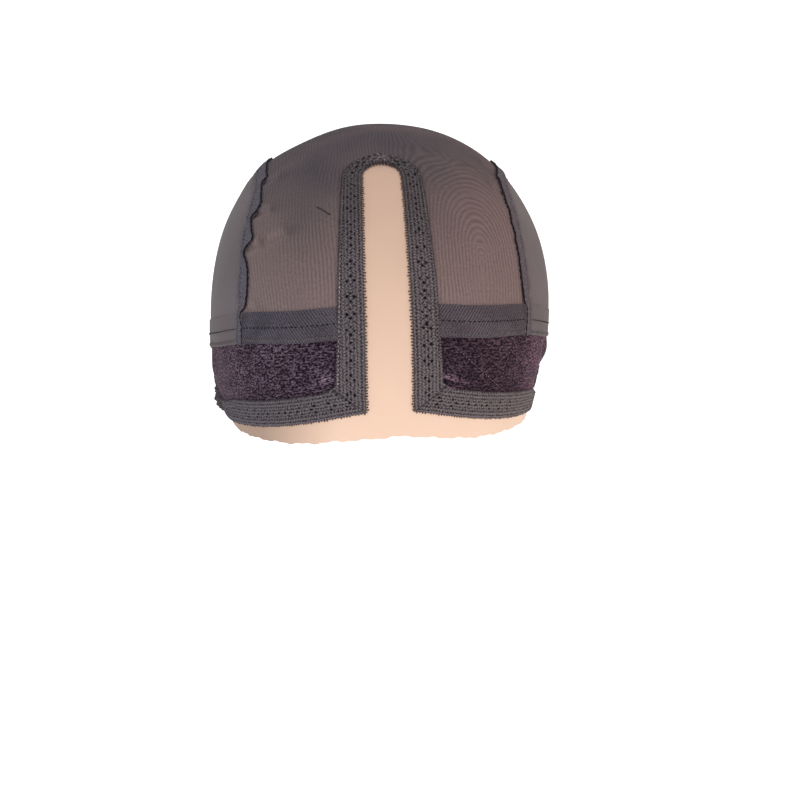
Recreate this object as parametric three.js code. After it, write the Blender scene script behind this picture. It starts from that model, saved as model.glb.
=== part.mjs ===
import * as THREE from 'three';

// Wig cap of stretch mesh, velvet, elastic and lace, in millimetres, as it sits when worn.
// +Z is up, the forehead faces -Y and +X is the wearer's left.
// The origin is where the cap sits on the head: the inside of the crown's highest point.

// The head form that the cap is stretched over: half axes from its widest level, and its fullness.
// A fullness of 2 is an ellipsoid, and a larger one is squarer.
const headHalfWidth = 75;
const headToForehead = 101.5;
const headToBack = 82.3;
const headToCrown = 78.2;
const headToChinLevel = 94.8;
const headFullness = 2.24;

// Cloth: the panels lie on the head, and the trims lie on the panels.
const panelWall = 1.0;
const trimWall = 1.0;
const layerGap = 0.35;
const seamGap = 0.4;

// The parting: the U-shaped opening from the forehead to the crown.
const partWidthAtForehead = 17.2;
const partWidthAtCrown = 15.2;

// Perforated elastic round the parting and along the forehead.
const elasticWidthOnForehead = 10.4;
const elasticWidthAtParting = 10.4;
const elasticWidthOnArc = 7.2;
const elasticPeak = 0.8;

// Mesh band above the velvet.
const bandWidth = 11.6;

// Side seams: a rolled ridge, with the seam allowance on its outer side.
const ridgeWidth = 1.8;
const ridgeHeight = 1.9;
const allowanceWidth = 4.6;

// Gathered elastic casing round the nape.
const casingWidth = 15;
const casingWall = 1.8;
const gatherHeight = 1.9;
const gatherPitch = 8;
const gatherSpread = 0.35;
const casingEdgeRound = 2.6;

// Height of the ridge's shoulder and of the casing's widest level, as shares of their height.
const ridgeShoulder = 0.6;
const casingBelly = 0.6;

// Angles in degrees. Azimuth is 0 at the forehead, 90 at an ear and 180 at the nape.
// The over-the-head angle is 0 at the forehead's widest level, 90 at the top and 180 behind.
const partArcCentre = 55;
const casingStart = 63;
const casingFull = 78;
const laceEnd = 59;
const velvetEnd = 97;
const stepToCasingTop = 1;

// Lower edge of the elastic and then of the casing, as an elevation for each azimuth.
const RIM = {
  azimuth:   [0,   6,    14,   26,   39,    47,    56,    63,    75,    90,    110,   130, 155, 180],
  elevation: [0.4, -0.1, -2.5, -7.2, -13.1, -17.2, -20.9, -23.0, -25.6, -28.2, -31.6, -36, -41, -43],
};

// Cut edge of the lace below the elastic.
const LACE_EDGE = {
  azimuth:   [0,    10,   18,   28,    37,    47,    56,    59],
  elevation: [-6.2, -7.5, -9.7, -12.8, -16.1, -20.2, -22.5, -23.0],
};

// Middle of the mesh band, which is also where the velvet meets the crown and the side panels.
const BAND = {
  azimuth:   [0,    10,   18,   36,   53,  66,  80,   90,    98],
  elevation: [18.8, 18.5, 17.3, 13.7, 7.0, 1.2, -6.5, -12.6, -17.7],
};

// Side seams: distance from the middle, in shares of the form's half width, with their puckers.
const SEAM = {
  over: [
    4, 16, 22, 28, 34, 39.5, 43, 47, 53,
    55.5, 61, 70, 84, 100, 120, 150, 180, 225,
  ],
  left: [
    0.690, 0.700, 0.698, 0.685, 0.679, 0.675, 0.673, 0.668, 0.662,
    0.660, 0.652, 0.650, 0.676, 0.712, 0.716, 0.696, 0.668, 0.620,
  ],
  right: [
    0.706, 0.714, 0.699, 0.682, 0.682, 0.701, 0.664, 0.668, 0.668,
    0.631, 0.627, 0.626, 0.615, 0.628, 0.640, 0.648, 0.648, 0.610,
  ],
};

// Soft dents of the worn cap: where the middle is, how far they reach and how deep they are.
// The place across and the reach are shares of the form's half width.
// The last two are puffs of the slack velvet beside the eyes.
const DENTS = {
  across: [-0.413, -0.947, 0.940],
  over:   [104,    -19,    -10],
  reach:  [0.20,   0.11,   0.11],
  depth:  [1.7,    -1.2,   -1.6],
};

// The cap is worn a little askew: below its upper level the temples sit towards the wearer's right.
const askew = 2.2;
const askewFrom = 35;
const askewTo = -25;

// How many straight steps each shape is drawn with.
const STEP_COUNTS = {
  legAcross: 6,
  legUp: 10,
  arc: 10,
  crownBack: 28,
  sideUp: 8,
  foot: 10,
  riser: 13,
  laceDown: 2,
  velvetPastFoot: 7,
  velvetUp: 4,
  bandFront: 8,
  bandSide: 14,
  bandUp: 2,
  trimAcross: 2,
  seam: 60,
  perGather: 4,
  raisedLine: 90,
  napePath: 400,
};

// Share of the side panel's steps that lie over the velvet.
const sideStepsOverVelvet = 0.36;

// How often the search for a crossing halves its range.
const halvings = 40;

const radians = THREE.MathUtils.degToRad;
const degrees = THREE.MathUtils.radToDeg;
const lerp = THREE.MathUtils.lerp;

// The elastic stops just short of the casing that carries it on.
const elasticEnd = casingStart - degrees(2 * seamGap / headHalfWidth);

// How far the casing's edges swell at the top of a gather.
const gatherEdge = gatherSpread * gatherHeight;

// Value of a table's column at a given place in its first column, on a smooth curve.
function lookUp(table, column, at) {
  const places = Object.values(table)[0];
  const values = table[column];
  const last = places.length - 1;
  let i = places.findIndex((place, index) => index === last - 1 || at < places[index + 1]);
  i = Math.max(0, i);
  const slope = (k) => {
    const before = Math.max(0, k - 1);
    const after = Math.min(last, k + 1);
    return (values[after] - values[before]) / (places[after] - places[before]);
  };
  const step = places[i + 1] - places[i];
  const t = THREE.MathUtils.clamp((at - places[i]) / step, 0, 1);
  const startWeight = 2 * t ** 3 - 3 * t ** 2 + 1;
  const startSlope = (t ** 3 - 2 * t ** 2 + t) * step * slope(i);
  const endWeight = 1 - startWeight;
  const endSlope = (t ** 3 - t ** 2) * step * slope(i + 1);
  return startWeight * values[i] + startSlope + endWeight * values[i + 1] + endSlope;
}

// Half axes of the head form in the direction of a point.
function halfAxes(point) {
  return new THREE.Vector3(
    headHalfWidth,
    point.y < 0 ? headToForehead : headToBack,
    point.z > 0 ? headToCrown : headToChinLevel,
  );
}

// The point of the head form on the ray from the form's centre through a point.
function onForm(point) {
  const axes = halfAxes(point);
  const level = Math.abs(point.x / axes.x) ** headFullness
    + Math.abs(point.y / axes.y) ** headFullness
    + Math.abs(point.z / axes.z) ** headFullness;
  return point.clone().multiplyScalar(level ** (-1 / headFullness));
}

// Direction that faces straight out of the head form at a point.
function outward(point) {
  const axes = halfAxes(point);
  const pull = (value, axis) => Math.sign(value) * Math.abs(value / axis) ** (headFullness - 1) / axis;
  return new THREE.Vector3(pull(point.x, axes.x), pull(point.y, axes.y), pull(point.z, axes.z)).normalize();
}

// Depth of the worn dents at a point of the form.
function dentAt(point) {
  return DENTS.depth.reduce((sum, depth, i) => {
    const middle = over(DENTS.across[i] * headHalfWidth, DENTS.over[i]);
    const away = point.distanceTo(middle) / (DENTS.reach[i] * headHalfWidth);
    return sum + depth * Math.exp(-(away ** 2));
  }, 0);
}

// A point above the head form, in the cap's own frame.
function lifted(point, height) {
  const lean = THREE.MathUtils.smoothstep(-point.z, -askewFrom, -askewTo);
  const shift = new THREE.Vector3(-askew * lean * Math.abs(point.x) / headHalfWidth, 0, -headToCrown);
  return point.clone().addScaledVector(outward(point), height - dentAt(point)).add(shift);
}

// The point of the form at an azimuth and elevation, on the side given by -1 or 1.
function aim(azimuth, elevation, side = 1) {
  const turn = radians(azimuth);
  const rise = radians(elevation);
  return onForm(new THREE.Vector3(
    side * Math.sin(turn) * Math.cos(rise),
    -Math.cos(turn) * Math.cos(rise),
    Math.sin(rise),
  ));
}

// The point of the form at a distance x from the middle and an angle over the head.
function over(x, angle) {
  const turn = radians(angle);
  const flat = new THREE.Vector3(0, -Math.cos(turn), Math.sin(turn));
  const rim = onForm(flat);
  const share = 1 - Math.abs(x / headHalfWidth) ** headFullness;
  return rim.multiplyScalar(share ** (1 / headFullness)).setX(x);
}

// The point beside another one on the form, to the left of a direction of travel seen from outside.
function beside(point, along, distance) {
  const across = outward(point).cross(along).normalize();
  return onForm(point.clone().addScaledVector(across, distance));
}

// Lines that the pieces share

function linePoints(count, pointAt) {
  return Array.from({ length: count + 1 }, (_, i) => pointAt(i / count));
}

function elevationOf(point) {
  return degrees(Math.atan2(point.z, Math.hypot(point.x, point.y)));
}

function azimuthOf(point) {
  return degrees(Math.atan2(Math.abs(point.x), -point.y));
}

function rimAt(azimuth) {
  return lookUp(RIM, 'elevation', azimuth);
}

function bandAt(azimuth) {
  return lookUp(BAND, 'elevation', azimuth);
}

// The casing starts as wide as the elastic that it carries on from.
function casingWidthAt(azimuth) {
  const widened = THREE.MathUtils.smoothstep(azimuth, casingStart, casingFull);
  return lerp(elasticWidthOnForehead, casingWidth, widened);
}

// Line at a distance up the form from another line, as a table of elevations.
function raisedLine(elevationAt, distanceAt) {
  const line = linePoints(STEP_COUNTS.raisedLine, (t) => aim(180 * t, elevationAt(180 * t)));
  const raised = line.map((point, i) => {
    const ahead = line[Math.min(line.length - 1, i + 1)];
    const back = line[Math.max(0, i - 1)];
    return beside(point, ahead.clone().sub(back), distanceAt(180 * i / (line.length - 1)));
  });
  return { azimuth: raised.map(azimuthOf), elevation: raised.map(elevationOf) };
}

// The casing's top with its clearance, the edges of the band, and the edges of the cloth under it.
const CASING_TOP = raisedLine(rimAt, (azimuth) => casingWidthAt(azimuth) + gatherEdge + seamGap);
const BAND_TOP = raisedLine(bandAt, () => bandWidth / 2);
const BAND_BOTTOM = raisedLine(bandAt, () => -bandWidth / 2);
const ABOVE_BAND_SEAM = raisedLine(bandAt, () => seamGap / 2);
const BELOW_BAND_SEAM = raisedLine(bandAt, () => -seamGap / 2);

function casingTopAt(azimuth) {
  return lookUp(CASING_TOP, 'elevation', azimuth);
}

// Over-the-head angle at which the side seam crosses a line given by its elevation for each azimuth.
function seamCrossing(side, from, to, elevationAt) {
  let low = from;
  let high = to;
  const gap = (angle) => {
    const point = seamPoint(side, angle);
    return elevationOf(point) - elevationAt(azimuthOf(point));
  };
  const sign = Math.sign(gap(low));
  for (let step = 0; step < halvings; step += 1) {
    const middle = (low + high) / 2;
    if (Math.sign(gap(middle)) === sign) {
      low = middle;
    } else {
      high = middle;
    }
  }
  return low;
}

// The seam's ridge, moved sideways towards the ear by a distance.
function seamPoint(side, angle, distance = allowanceWidth / 2) {
  const share = lookUp(SEAM, side > 0 ? 'left' : 'right', angle);
  const point = over(side * share * headHalfWidth, angle);
  const turn = radians(angle);
  const travel = new THREE.Vector3(0, Math.sin(turn), Math.cos(turn));
  return beside(point, travel, -side * distance);
}

// Elastic: its inner edge runs along one foot, up a riser, round the arc and down to the other foot.
// No step lies nearer to a corner than the elastic's width, so that its mitre doesn't fold over.
function elasticLine(shareOfWidth) {
  const cornerAzimuth = degrees(Math.asin(partWidthAtForehead / 2 / headToForehead));
  const cornerOver = rimAt(cornerAzimuth);
  const mitre = degrees((elasticWidthOnForehead + seamGap) / headToForehead);
  const radius = partWidthAtCrown / 2;
  const arcScale = degrees(1 / over(0, partArcCentre).length());
  const foot = linePoints(STEP_COUNTS.foot, (t) => {
    const azimuth = lerp(elasticEnd, cornerAzimuth + mitre, t);
    return { point: aim(azimuth, rimAt(azimuth), -1), width: elasticWidthOnForehead };
  });
  const corner = { point: aim(cornerAzimuth, cornerOver, -1), width: elasticWidthOnForehead };
  const riser = linePoints(STEP_COUNTS.riser, (t) => {
    const x = lerp(partWidthAtForehead / 2, radius, t);
    return {
      point: over(-x, lerp(cornerOver + mitre, partArcCentre, t)),
      width: lerp(elasticWidthAtParting, elasticWidthOnArc, t),
    };
  });
  const halfArc = linePoints(STEP_COUNTS.arc / 2, (t) => {
    const turn = t * Math.PI / 2;
    return {
      point: over(-radius * Math.cos(turn), partArcCentre + radius * Math.sin(turn) * arcScale),
      width: elasticWidthOnArc,
    };
  });
  const half = [...foot, corner, ...riser.slice(0, -1), ...halfArc];
  const mirrored = half.slice(0, -1).reverse().map(({ point, width }) => ({
    point: point.clone().setX(-point.x),
    width,
  }));
  const line = [...half, ...mirrored];
  return line.map(({ point, width }, i) => {
    const back = line[Math.max(0, i - 1)].point;
    const ahead = line[Math.min(line.length - 1, i + 1)].point;
    const arriving = point.clone().sub(back).normalize();
    const leaving = ahead.clone().sub(point).normalize();
    const along = arriving.clone().add(leaving).normalize();
    const bend = i > 0 && i < line.length - 1 ? arriving.dot(along) : 1;
    return beside(point, along, shareOfWidth * width / bend);
  });
}

// Shares of the elastic's line: the corner of each foot, and the two ends of the arc.
const LEFT_CORNER = STEP_COUNTS.foot + 1;
const ARC_START = LEFT_CORNER + STEP_COUNTS.riser + 1;
const ARC_END = ARC_START + STEP_COUNTS.arc;
const RIGHT_CORNER = ARC_END + STEP_COUNTS.riser + 1;
const LINE_END = RIGHT_CORNER + STEP_COUNTS.foot + 1;

// Number of the riser's first point above a line given by its elevation for each azimuth.
function firstAbove(line, elevationAt) {
  const isAbove = (point) => elevationOf(point) > elevationAt(azimuthOf(point));
  return line.findIndex((point, i) => i > LEFT_CORNER && isAbove(point));
}

// Azimuth of the riser's outer edge where it crosses such a line.
function riserEdgeAzimuth(elevationAt) {
  const line = elasticLine(1);
  const i = firstAbove(line, elevationAt);
  return Math.max(azimuthOf(line[i]), azimuthOf(line[i - 1]));
}

// Line under the middle of the elastic, moved by half a seam gap to either side.
function underElastic(sideOfGap) {
  const centre = elasticLine(0.5);
  return centre.map((point, i) => {
    const back = centre[Math.max(0, i - 1)];
    const ahead = centre[Math.min(centre.length - 1, i + 1)];
    const along = ahead.clone().sub(back).normalize();
    return beside(point, along, sideOfGap * seamGap / 2);
  });
}

// Points of a line at even steps along it.
function resampled(line, count) {
  const lengths = [0];
  for (let i = 1; i < line.length; i += 1) {
    lengths.push(lengths[i - 1] + line[i].distanceTo(line[i - 1]));
  }
  const total = lengths[lengths.length - 1];
  return linePoints(count, (t) => {
    const at = t * total;
    let i = lengths.findIndex((length) => length >= at - 1e-9);
    i = Math.max(1, i);
    const share = (at - lengths[i - 1]) / (lengths[i] - lengths[i - 1]);
    return onForm(line[i - 1].clone().lerp(line[i], THREE.MathUtils.clamp(share, 0, 1)));
  });
}

// Sheet between four edges: rows of points on the form, blended from the edges.
function patch(bottom, top, start, end) {
  const columns = bottom.length - 1;
  const rows = start.length - 1;
  return start.map((_, j) => bottom.map((__, i) => {
    if (j === 0) {
      return bottom[i];
    }
    if (j === rows) {
      return top[i];
    }
    if (i === 0) {
      return start[j];
    }
    if (i === columns) {
      return end[j];
    }
    const u = i / columns;
    const v = j / rows;
    const blended = new THREE.Vector3()
      .addScaledVector(bottom[i], 1 - v)
      .addScaledVector(top[i], v)
      .addScaledVector(start[j], 1 - u)
      .addScaledVector(end[j], u)
      .addScaledVector(bottom[0], -(1 - u) * (1 - v))
      .addScaledVector(bottom[columns], -u * (1 - v))
      .addScaledVector(top[0], -(1 - u) * v)
      .addScaledVector(top[columns], -u * v);
    return onForm(blended);
  }));
}

// Closed solids

// Makes a geometry from points and triangles, turned so that its faces point out.
function closedGeometry(points, triangles) {
  let volume = 0;
  for (const [a, b, c] of triangles) {
    volume += points[a].dot(points[b].clone().cross(points[c]));
  }
  const facing = volume < 0 ? triangles.map(([a, b, c]) => [a, c, b]) : triangles;
  const geometry = new THREE.BufferGeometry();
  geometry.setAttribute('position', new THREE.Float32BufferAttribute(points.flatMap((p) => p.toArray()), 3));
  geometry.setIndex(facing.flat());
  geometry.computeVertexNormals();
  return geometry;
}

// Sheet of cloth: patches that share their edge points, given a wall between two heights over the form.
function sheet(patches, inside, outside) {
  const points = [];
  const numbers = new Map();
  const numberOf = (point) => {
    const key = point.toArray().map((value) => Math.round(value * 1e4)).join(' ');
    if (!numbers.has(key)) {
      numbers.set(key, points.length);
      points.push(point);
    }
    return numbers.get(key);
  };
  const faces = [];
  for (const rows of patches) {
    for (let j = 0; j < rows.length - 1; j += 1) {
      for (let i = 0; i < rows[j].length - 1; i += 1) {
        const corners = [rows[j][i], rows[j][i + 1], rows[j + 1][i + 1], rows[j + 1][i]].map(numberOf);
        for (const face of [[corners[0], corners[1], corners[2]], [corners[0], corners[2], corners[3]]]) {
          if (new Set(face).size === 3) {
            faces.push(face);
          }
        }
      }
    }
  }
  const count = points.length;
  const edges = new Set(faces.flatMap(([a, b, c]) => [`${a} ${b}`, `${b} ${c}`, `${c} ${a}`]));
  const walls = [];
  for (const edge of edges) {
    const [a, b] = edge.split(' ').map(Number);
    if (!edges.has(`${b} ${a}`)) {
      walls.push([b, a, a + count], [b, a + count, b + count]);
    }
  }
  const heightOf = (height, point) => (typeof height === 'function' ? height(point) : height);
  const outer = points.map((point) => lifted(point, heightOf(outside, point)));
  const inner = points.map((point) => lifted(point, heightOf(inside, point)));
  const triangles = [...faces, ...walls, ...faces.map(([a, b, c]) => [a + count, c + count, b + count])];
  return closedGeometry([...outer, ...inner], triangles);
}

// A profile carried along a path: one ring of points for each step, closed with flat ends.
function carried(rings, profile) {
  const size = profile.length;
  const triangles = [];
  for (let i = 0; i < rings.length - 1; i += 1) {
    for (let k = 0; k < size; k += 1) {
      const next = (k + 1) % size;
      const a = i * size + k;
      const b = i * size + next;
      triangles.push([a, b, b + size], [a, b + size, a + size]);
    }
  }
  const outline = profile.map(([s, height]) => new THREE.Vector2(s, height));
  const lid = THREE.ShapeUtils.triangulateShape(outline, []);
  const turned = THREE.ShapeUtils.area(outline) < 0;
  const last = (rings.length - 1) * size;
  for (const [a, b, c] of lid) {
    triangles.push(turned ? [a, b, c] : [a, c, b]);
    triangles.push(turned ? [a + last, c + last, b + last] : [a + last, b + last, c + last]);
  }
  return closedGeometry(rings.flat(), triangles);
}

// Pieces

const trimBase = panelWall + layerGap;

// Edge of a panel along the side seam, from the mesh band to the nape, in front of and behind the arc.
function seamEdge(side, distance) {
  const from = seamCrossing(side, SEAM.over[0], partArcCentre, bandAt);
  const to = seamCrossing(side, partArcCentre, SEAM.over.at(-1), casingTopAt);
  const along = (start, end, count) => linePoints(count, (t) => {
    return seamPoint(side, lerp(start, end, t), distance);
  });
  return {
    front: along(from, partArcCentre, STEP_COUNTS.legUp),
    back: along(partArcCentre, to, STEP_COUNTS.crownBack),
  };
}

function crownPanel() {
  const opening = underElastic(1);
  const bandEdge = (azimuth) => lookUp(ABOVE_BAND_SEAM, 'elevation', azimuth);
  const leg = (side) => {
    const line = side < 0 ? opening : opening.slice().reverse();
    const first = firstAbove(line, bandEdge);
    const corner = aim(azimuthOf(line[first]), bandEdge(azimuthOf(line[first])), side);
    const riser = resampled([corner, ...line.slice(first + 1, ARC_START + 1)], STEP_COUNTS.legUp);
    const seam = seamEdge(side, allowanceWidth / 2 - seamGap / 2).front;
    const seamAzimuth = azimuthOf(seam[0]);
    seam[0] = aim(seamAzimuth, bandEdge(seamAzimuth), side);
    const bottom = linePoints(STEP_COUNTS.legAcross, (t) => {
      const azimuth = lerp(azimuthOf(seam[0]), azimuthOf(corner), t);
      return aim(azimuth, bandEdge(azimuth), side);
    });
    bottom[0] = seam[0];
    bottom[STEP_COUNTS.legAcross] = riser[0];
    const topEnds = [seam[STEP_COUNTS.legUp], riser[STEP_COUNTS.legUp]];
    const top = linePoints(STEP_COUNTS.legAcross, (t) => onForm(topEnds[0].clone().lerp(topEnds[1], t)));
    top[0] = topEnds[0];
    top[STEP_COUNTS.legAcross] = topEnds[1];
    return patch(bottom, top, seam, riser);
  };
  const left = leg(-1);
  const right = leg(1).map((row) => row.slice().reverse());
  const front = [...left.at(-1), ...opening.slice(ARC_START + 1, ARC_END), ...right.at(-1)];
  const seams = [-1, 1].map((side) => seamEdge(side, allowanceWidth / 2 - seamGap / 2).back);
  seams[0][0] = front[0];
  seams[1][0] = front.at(-1);
  const corners = seams.map((line) => line.at(-1));
  const back = front.map((_, i) => {
    const t = i / (front.length - 1);
    const turn = t < 0.5
      ? lerp(azimuthOf(corners[0]), 180, 2 * t)
      : lerp(180, azimuthOf(corners[1]), 2 * t - 1);
    return aim(turn, casingTopAt(turn), t < 0.5 ? -1 : 1);
  });
  back[0] = corners[0];
  back[back.length - 1] = corners[1];
  const rear = patch(front, back, seams[0], seams[1]);
  return sheet([left, right, rear], 0, panelWall);
}

function sidePanel(side) {
  const bandEdge = (azimuth) => lookUp(ABOVE_BAND_SEAM, 'elevation', azimuth);
  const { front, back } = seamEdge(side, allowanceWidth / 2 + seamGap / 2);
  const top = [...front, ...back.slice(1)];
  const start = azimuthOf(top[0]);
  const finish = azimuthOf(top.at(-1));
  top[0] = aim(start, bandEdge(start), side);
  const pastVelvet = velvetEnd + degrees(seamGap / headHalfWidth);
  const overVelvet = Math.round(sideStepsOverVelvet * (top.length - 1));
  const bottom = top.map((_, i) => {
    if (i <= overVelvet) {
      const azimuth = lerp(start, pastVelvet, i / overVelvet);
      return aim(azimuth, bandEdge(azimuth), side);
    }
    const azimuth = lerp(pastVelvet, finish, (i - overVelvet - 1) / (top.length - overVelvet - 2));
    return aim(azimuth, casingTopAt(azimuth), side);
  });
  bottom[0] = top[0];
  bottom[bottom.length - 1] = top.at(-1);
  const startEdge = linePoints(STEP_COUNTS.sideUp, () => top[0]);
  const endEdge = linePoints(STEP_COUNTS.sideUp, () => top.at(-1));
  return sheet([patch(bottom, top, startEdge, endEdge)], 0, panelWall);
}

function velvetPanel(side) {
  const opening = underElastic(1);
  const line = side < 0 ? opening : opening.slice().reverse();
  const bandEdge = (azimuth) => lookUp(BELOW_BAND_SEAM, 'elevation', azimuth);
  const rise = firstAbove(line, bandEdge);
  const topCorner = aim(azimuthOf(line[rise]), bandEdge(azimuthOf(line[rise])), side);
  const riser = resampled([...line.slice(LEFT_CORNER, rise), topCorner], STEP_COUNTS.velvetUp);
  const foot = line.slice(1, LEFT_CORNER).reverse();
  foot.push(aim(elasticEnd - stepToCasingTop, elevationOf(foot.at(-1)), side));
  const rest = linePoints(STEP_COUNTS.velvetPastFoot, (t) => {
    const azimuth = lerp(elasticEnd, velvetEnd, t);
    return aim(azimuth, casingTopAt(azimuth), side);
  });
  const bottom = [riser[0], ...foot, ...rest];
  const top = bottom.map((point, i) => {
    const azimuth = lerp(azimuthOf(topCorner), velvetEnd, i / (bottom.length - 1));
    return aim(azimuth, bandEdge(azimuth), side);
  });
  top[0] = riser.at(-1);
  const end = linePoints(STEP_COUNTS.velvetUp, (t) => onForm(bottom.at(-1).clone().lerp(top.at(-1), t)));
  end[0] = bottom.at(-1);
  end[STEP_COUNTS.velvetUp] = top.at(-1);
  return sheet([patch(bottom, top, riser, end)], 0, panelWall);
}

function laceFront() {
  const edge = underElastic(-1);
  const start = edge.findIndex((point) => azimuthOf(point) < laceEnd);
  const finish = LINE_END - start;
  const corners = [edge[LEFT_CORNER], edge[RIGHT_CORNER]];
  const mouth = linePoints(STEP_COUNTS.arc, (t) => onForm(corners[0].clone().lerp(corners[1], t)));
  mouth[0] = edge[LEFT_CORNER];
  mouth[STEP_COUNTS.arc] = edge[RIGHT_CORNER];
  const top = [...edge.slice(start, LEFT_CORNER), ...mouth, ...edge.slice(RIGHT_CORNER + 1, finish + 1)];
  const bottom = top.map((point) => {
    const azimuth = azimuthOf(point);
    return aim(azimuth, lookUp(LACE_EDGE, 'elevation', azimuth), Math.sign(point.x) || 1);
  });
  const sideEdge = (k) => {
    const line = linePoints(STEP_COUNTS.laceDown, (t) => onForm(bottom.at(k).clone().lerp(top.at(k), t)));
    line[0] = bottom.at(k);
    line[STEP_COUNTS.laceDown] = top.at(k);
    return line;
  };
  const forehead = patch(bottom, top, sideEdge(0), sideEdge(-1));
  const leftRiser = edge.slice(LEFT_CORNER, ARC_START + 1);
  const rightRiser = edge.slice(ARC_END, RIGHT_CORNER + 1).reverse();
  const arc = edge.slice(ARC_START, ARC_END + 1);
  const parting = patch(mouth, arc, leftRiser, rightRiser);
  return sheet([forehead, parting], 0, panelWall);
}

function elasticTrim() {
  const lines = linePoints(STEP_COUNTS.trimAcross, (t) => elasticLine(t));
  const crest = over(0, partArcCentre);
  const reach = partWidthAtCrown / 2 + elasticWidthOnArc;
  const top = (point) => {
    const near = Math.max(0, 1 - Math.abs(point.x) / (reach / 2));
    const peak = point.z > crest.z ? elasticPeak * near : 0;
    return trimBase + trimWall + peak;
  };
  return sheet([lines], trimBase, top);
}

// Band between two ends, each given as an azimuth for a share of the band's height.
function bandPiece(side, startAt, endAt, count, lowest) {
  const rows = linePoints(STEP_COUNTS.bandUp, (up) => linePoints(count, (t) => {
    const azimuth = lerp(startAt(up), endAt(up), t);
    const bottom = Math.max(lookUp(BAND_BOTTOM, 'elevation', azimuth), lowest(azimuth));
    const top = lookUp(BAND_TOP, 'elevation', azimuth);
    return aim(azimuth, lerp(bottom, top, up), side);
  }));
  return sheet([rows], trimBase, trimBase + trimWall);
}

function bandHeightAt(up) {
  return (azimuth) => lerp(
    lookUp(BAND_BOTTOM, 'elevation', azimuth),
    lookUp(BAND_TOP, 'elevation', azimuth),
    up,
  );
}

// Azimuth at which the side seam, moved sideways by a distance, crosses the band.
function seamAzimuth(side, up, distance) {
  const angle = seamCrossing(side, SEAM.over[0], partArcCentre, bandHeightAt(up));
  return azimuthOf(seamPoint(side, angle, distance));
}

function bandFront(side) {
  const clear = degrees(seamGap / headToForehead);
  const startAt = (up) => riserEdgeAzimuth(bandHeightAt(up)) + clear;
  const endAt = (up) => seamAzimuth(side, up, -ridgeWidth / 2 - seamGap);
  const noLimit = () => -90;
  return bandPiece(side, startAt, endAt, STEP_COUNTS.bandFront, noLimit);
}

function bandSide(side) {
  const startAt = (up) => seamAzimuth(side, up, allowanceWidth + seamGap);
  return bandPiece(side, startAt, () => velvetEnd, STEP_COUNTS.bandSide, casingTopAt);
}

function seamTape(side) {
  const half = ridgeWidth / 2;
  const profile = [
    [-half, trimBase],
    [-half, trimBase + ridgeShoulder * ridgeHeight],
    [0, trimBase + ridgeHeight],
    [half, trimBase + trimWall],
    [allowanceWidth, trimBase + trimWall],
    [allowanceWidth, trimBase],
  ];
  const bandBottom = (azimuth) => lookUp(BAND_BOTTOM, 'elevation', azimuth);
  const from = seamCrossing(side, SEAM.over[0], partArcCentre, bandBottom);
  const to = seamCrossing(side, partArcCentre, SEAM.over.at(-1), casingTopAt);
  const rings = linePoints(STEP_COUNTS.seam, (t) => {
    const angle = lerp(from, to, t);
    return profile.map(([s, height]) => lifted(seamPoint(side, angle, s), height));
  });
  return carried(rings, profile);
}

function napeBand() {
  const path = linePoints(STEP_COUNTS.napePath, (t) => {
    const azimuth = lerp(casingStart, 360 - casingStart, t);
    const folded = azimuth > 180 ? 360 - azimuth : azimuth;
    return aim(folded, rimAt(folded), azimuth > 180 ? -1 : 1);
  });
  let length = 0;
  for (let i = 1; i < path.length; i += 1) {
    length += path[i].distanceTo(path[i - 1]);
  }
  const gathers = Math.round(length / gatherPitch);
  const stations = resampled(path, gathers * STEP_COUNTS.perGather);
  const round = casingEdgeRound;
  const profileAt = (width, swell) => {
    const edge = swell * gatherEdge;
    const top = casingWall + swell * gatherHeight;
    return [
      [0, 0],
      [width, 0],
      [width + edge, casingBelly * casingWall],
      [width - round, top],
      [round, top],
      [-edge, casingBelly * casingWall],
    ];
  };
  const rings = stations.map((point, i) => {
    const swell = Math.abs(Math.sin(Math.PI * i / STEP_COUNTS.perGather));
    const ahead = stations[Math.min(stations.length - 1, i + 1)];
    const back = stations[Math.max(0, i - 1)];
    const along = ahead.clone().sub(back).normalize();
    const width = casingWidthAt(azimuthOf(point));
    return profileAt(width, swell).map(([s, height]) => lifted(beside(point, along, s), height));
  });
  return carried(rings, profileAt(casingWidth, 0));
}

// Materials and assembly

const FINISH = {
  crownMesh: { color: 0x625a5c, roughness: 0.8 },
  sideMesh: { color: 0x6a6468, roughness: 0.75 },
  velvet: { color: 0x3c2c36, roughness: 0.9 },
  lace: { color: 0xe2c3ad, roughness: 0.85 },
  elastic: { color: 0x4e494d, roughness: 0.85 },
  bandMesh: { color: 0x4f4a51, roughness: 0.8 },
  tape: { color: 0x4a464b, roughness: 0.85 },
  casing: { color: 0x3d383d, roughness: 0.85 },
};

function piece(name, geometry, finish) {
  const mesh = new THREE.Mesh(geometry, new THREE.MeshStandardMaterial({ ...FINISH[finish], metalness: 0 }));
  mesh.name = name;
  return mesh;
}

const cap = new THREE.Group();
cap.add(piece('crown_panel', crownPanel(), 'crownMesh'));
cap.add(piece('lace_front', laceFront(), 'lace'));
cap.add(piece('elastic_trim', elasticTrim(), 'elastic'));
cap.add(piece('nape_band', napeBand(), 'casing'));
for (const [side, word] of [[1, 'left'], [-1, 'right']]) {
  cap.add(piece(`side_panel_${word}`, sidePanel(side), 'sideMesh'));
  cap.add(piece(`velvet_${word}`, velvetPanel(side), 'velvet'));
  cap.add(piece(`band_front_${word}`, bandFront(side), 'bandMesh'));
  cap.add(piece(`band_side_${word}`, bandSide(side), 'bandMesh'));
  cap.add(piece(`seam_tape_${word}`, seamTape(side), 'tape'));
}

export default cap;
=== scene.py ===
import math

import bpy
import numpy as np
from bpy.props import FloatProperty, FloatVectorProperty, PointerProperty
from mathutils import Matrix, Vector


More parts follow.
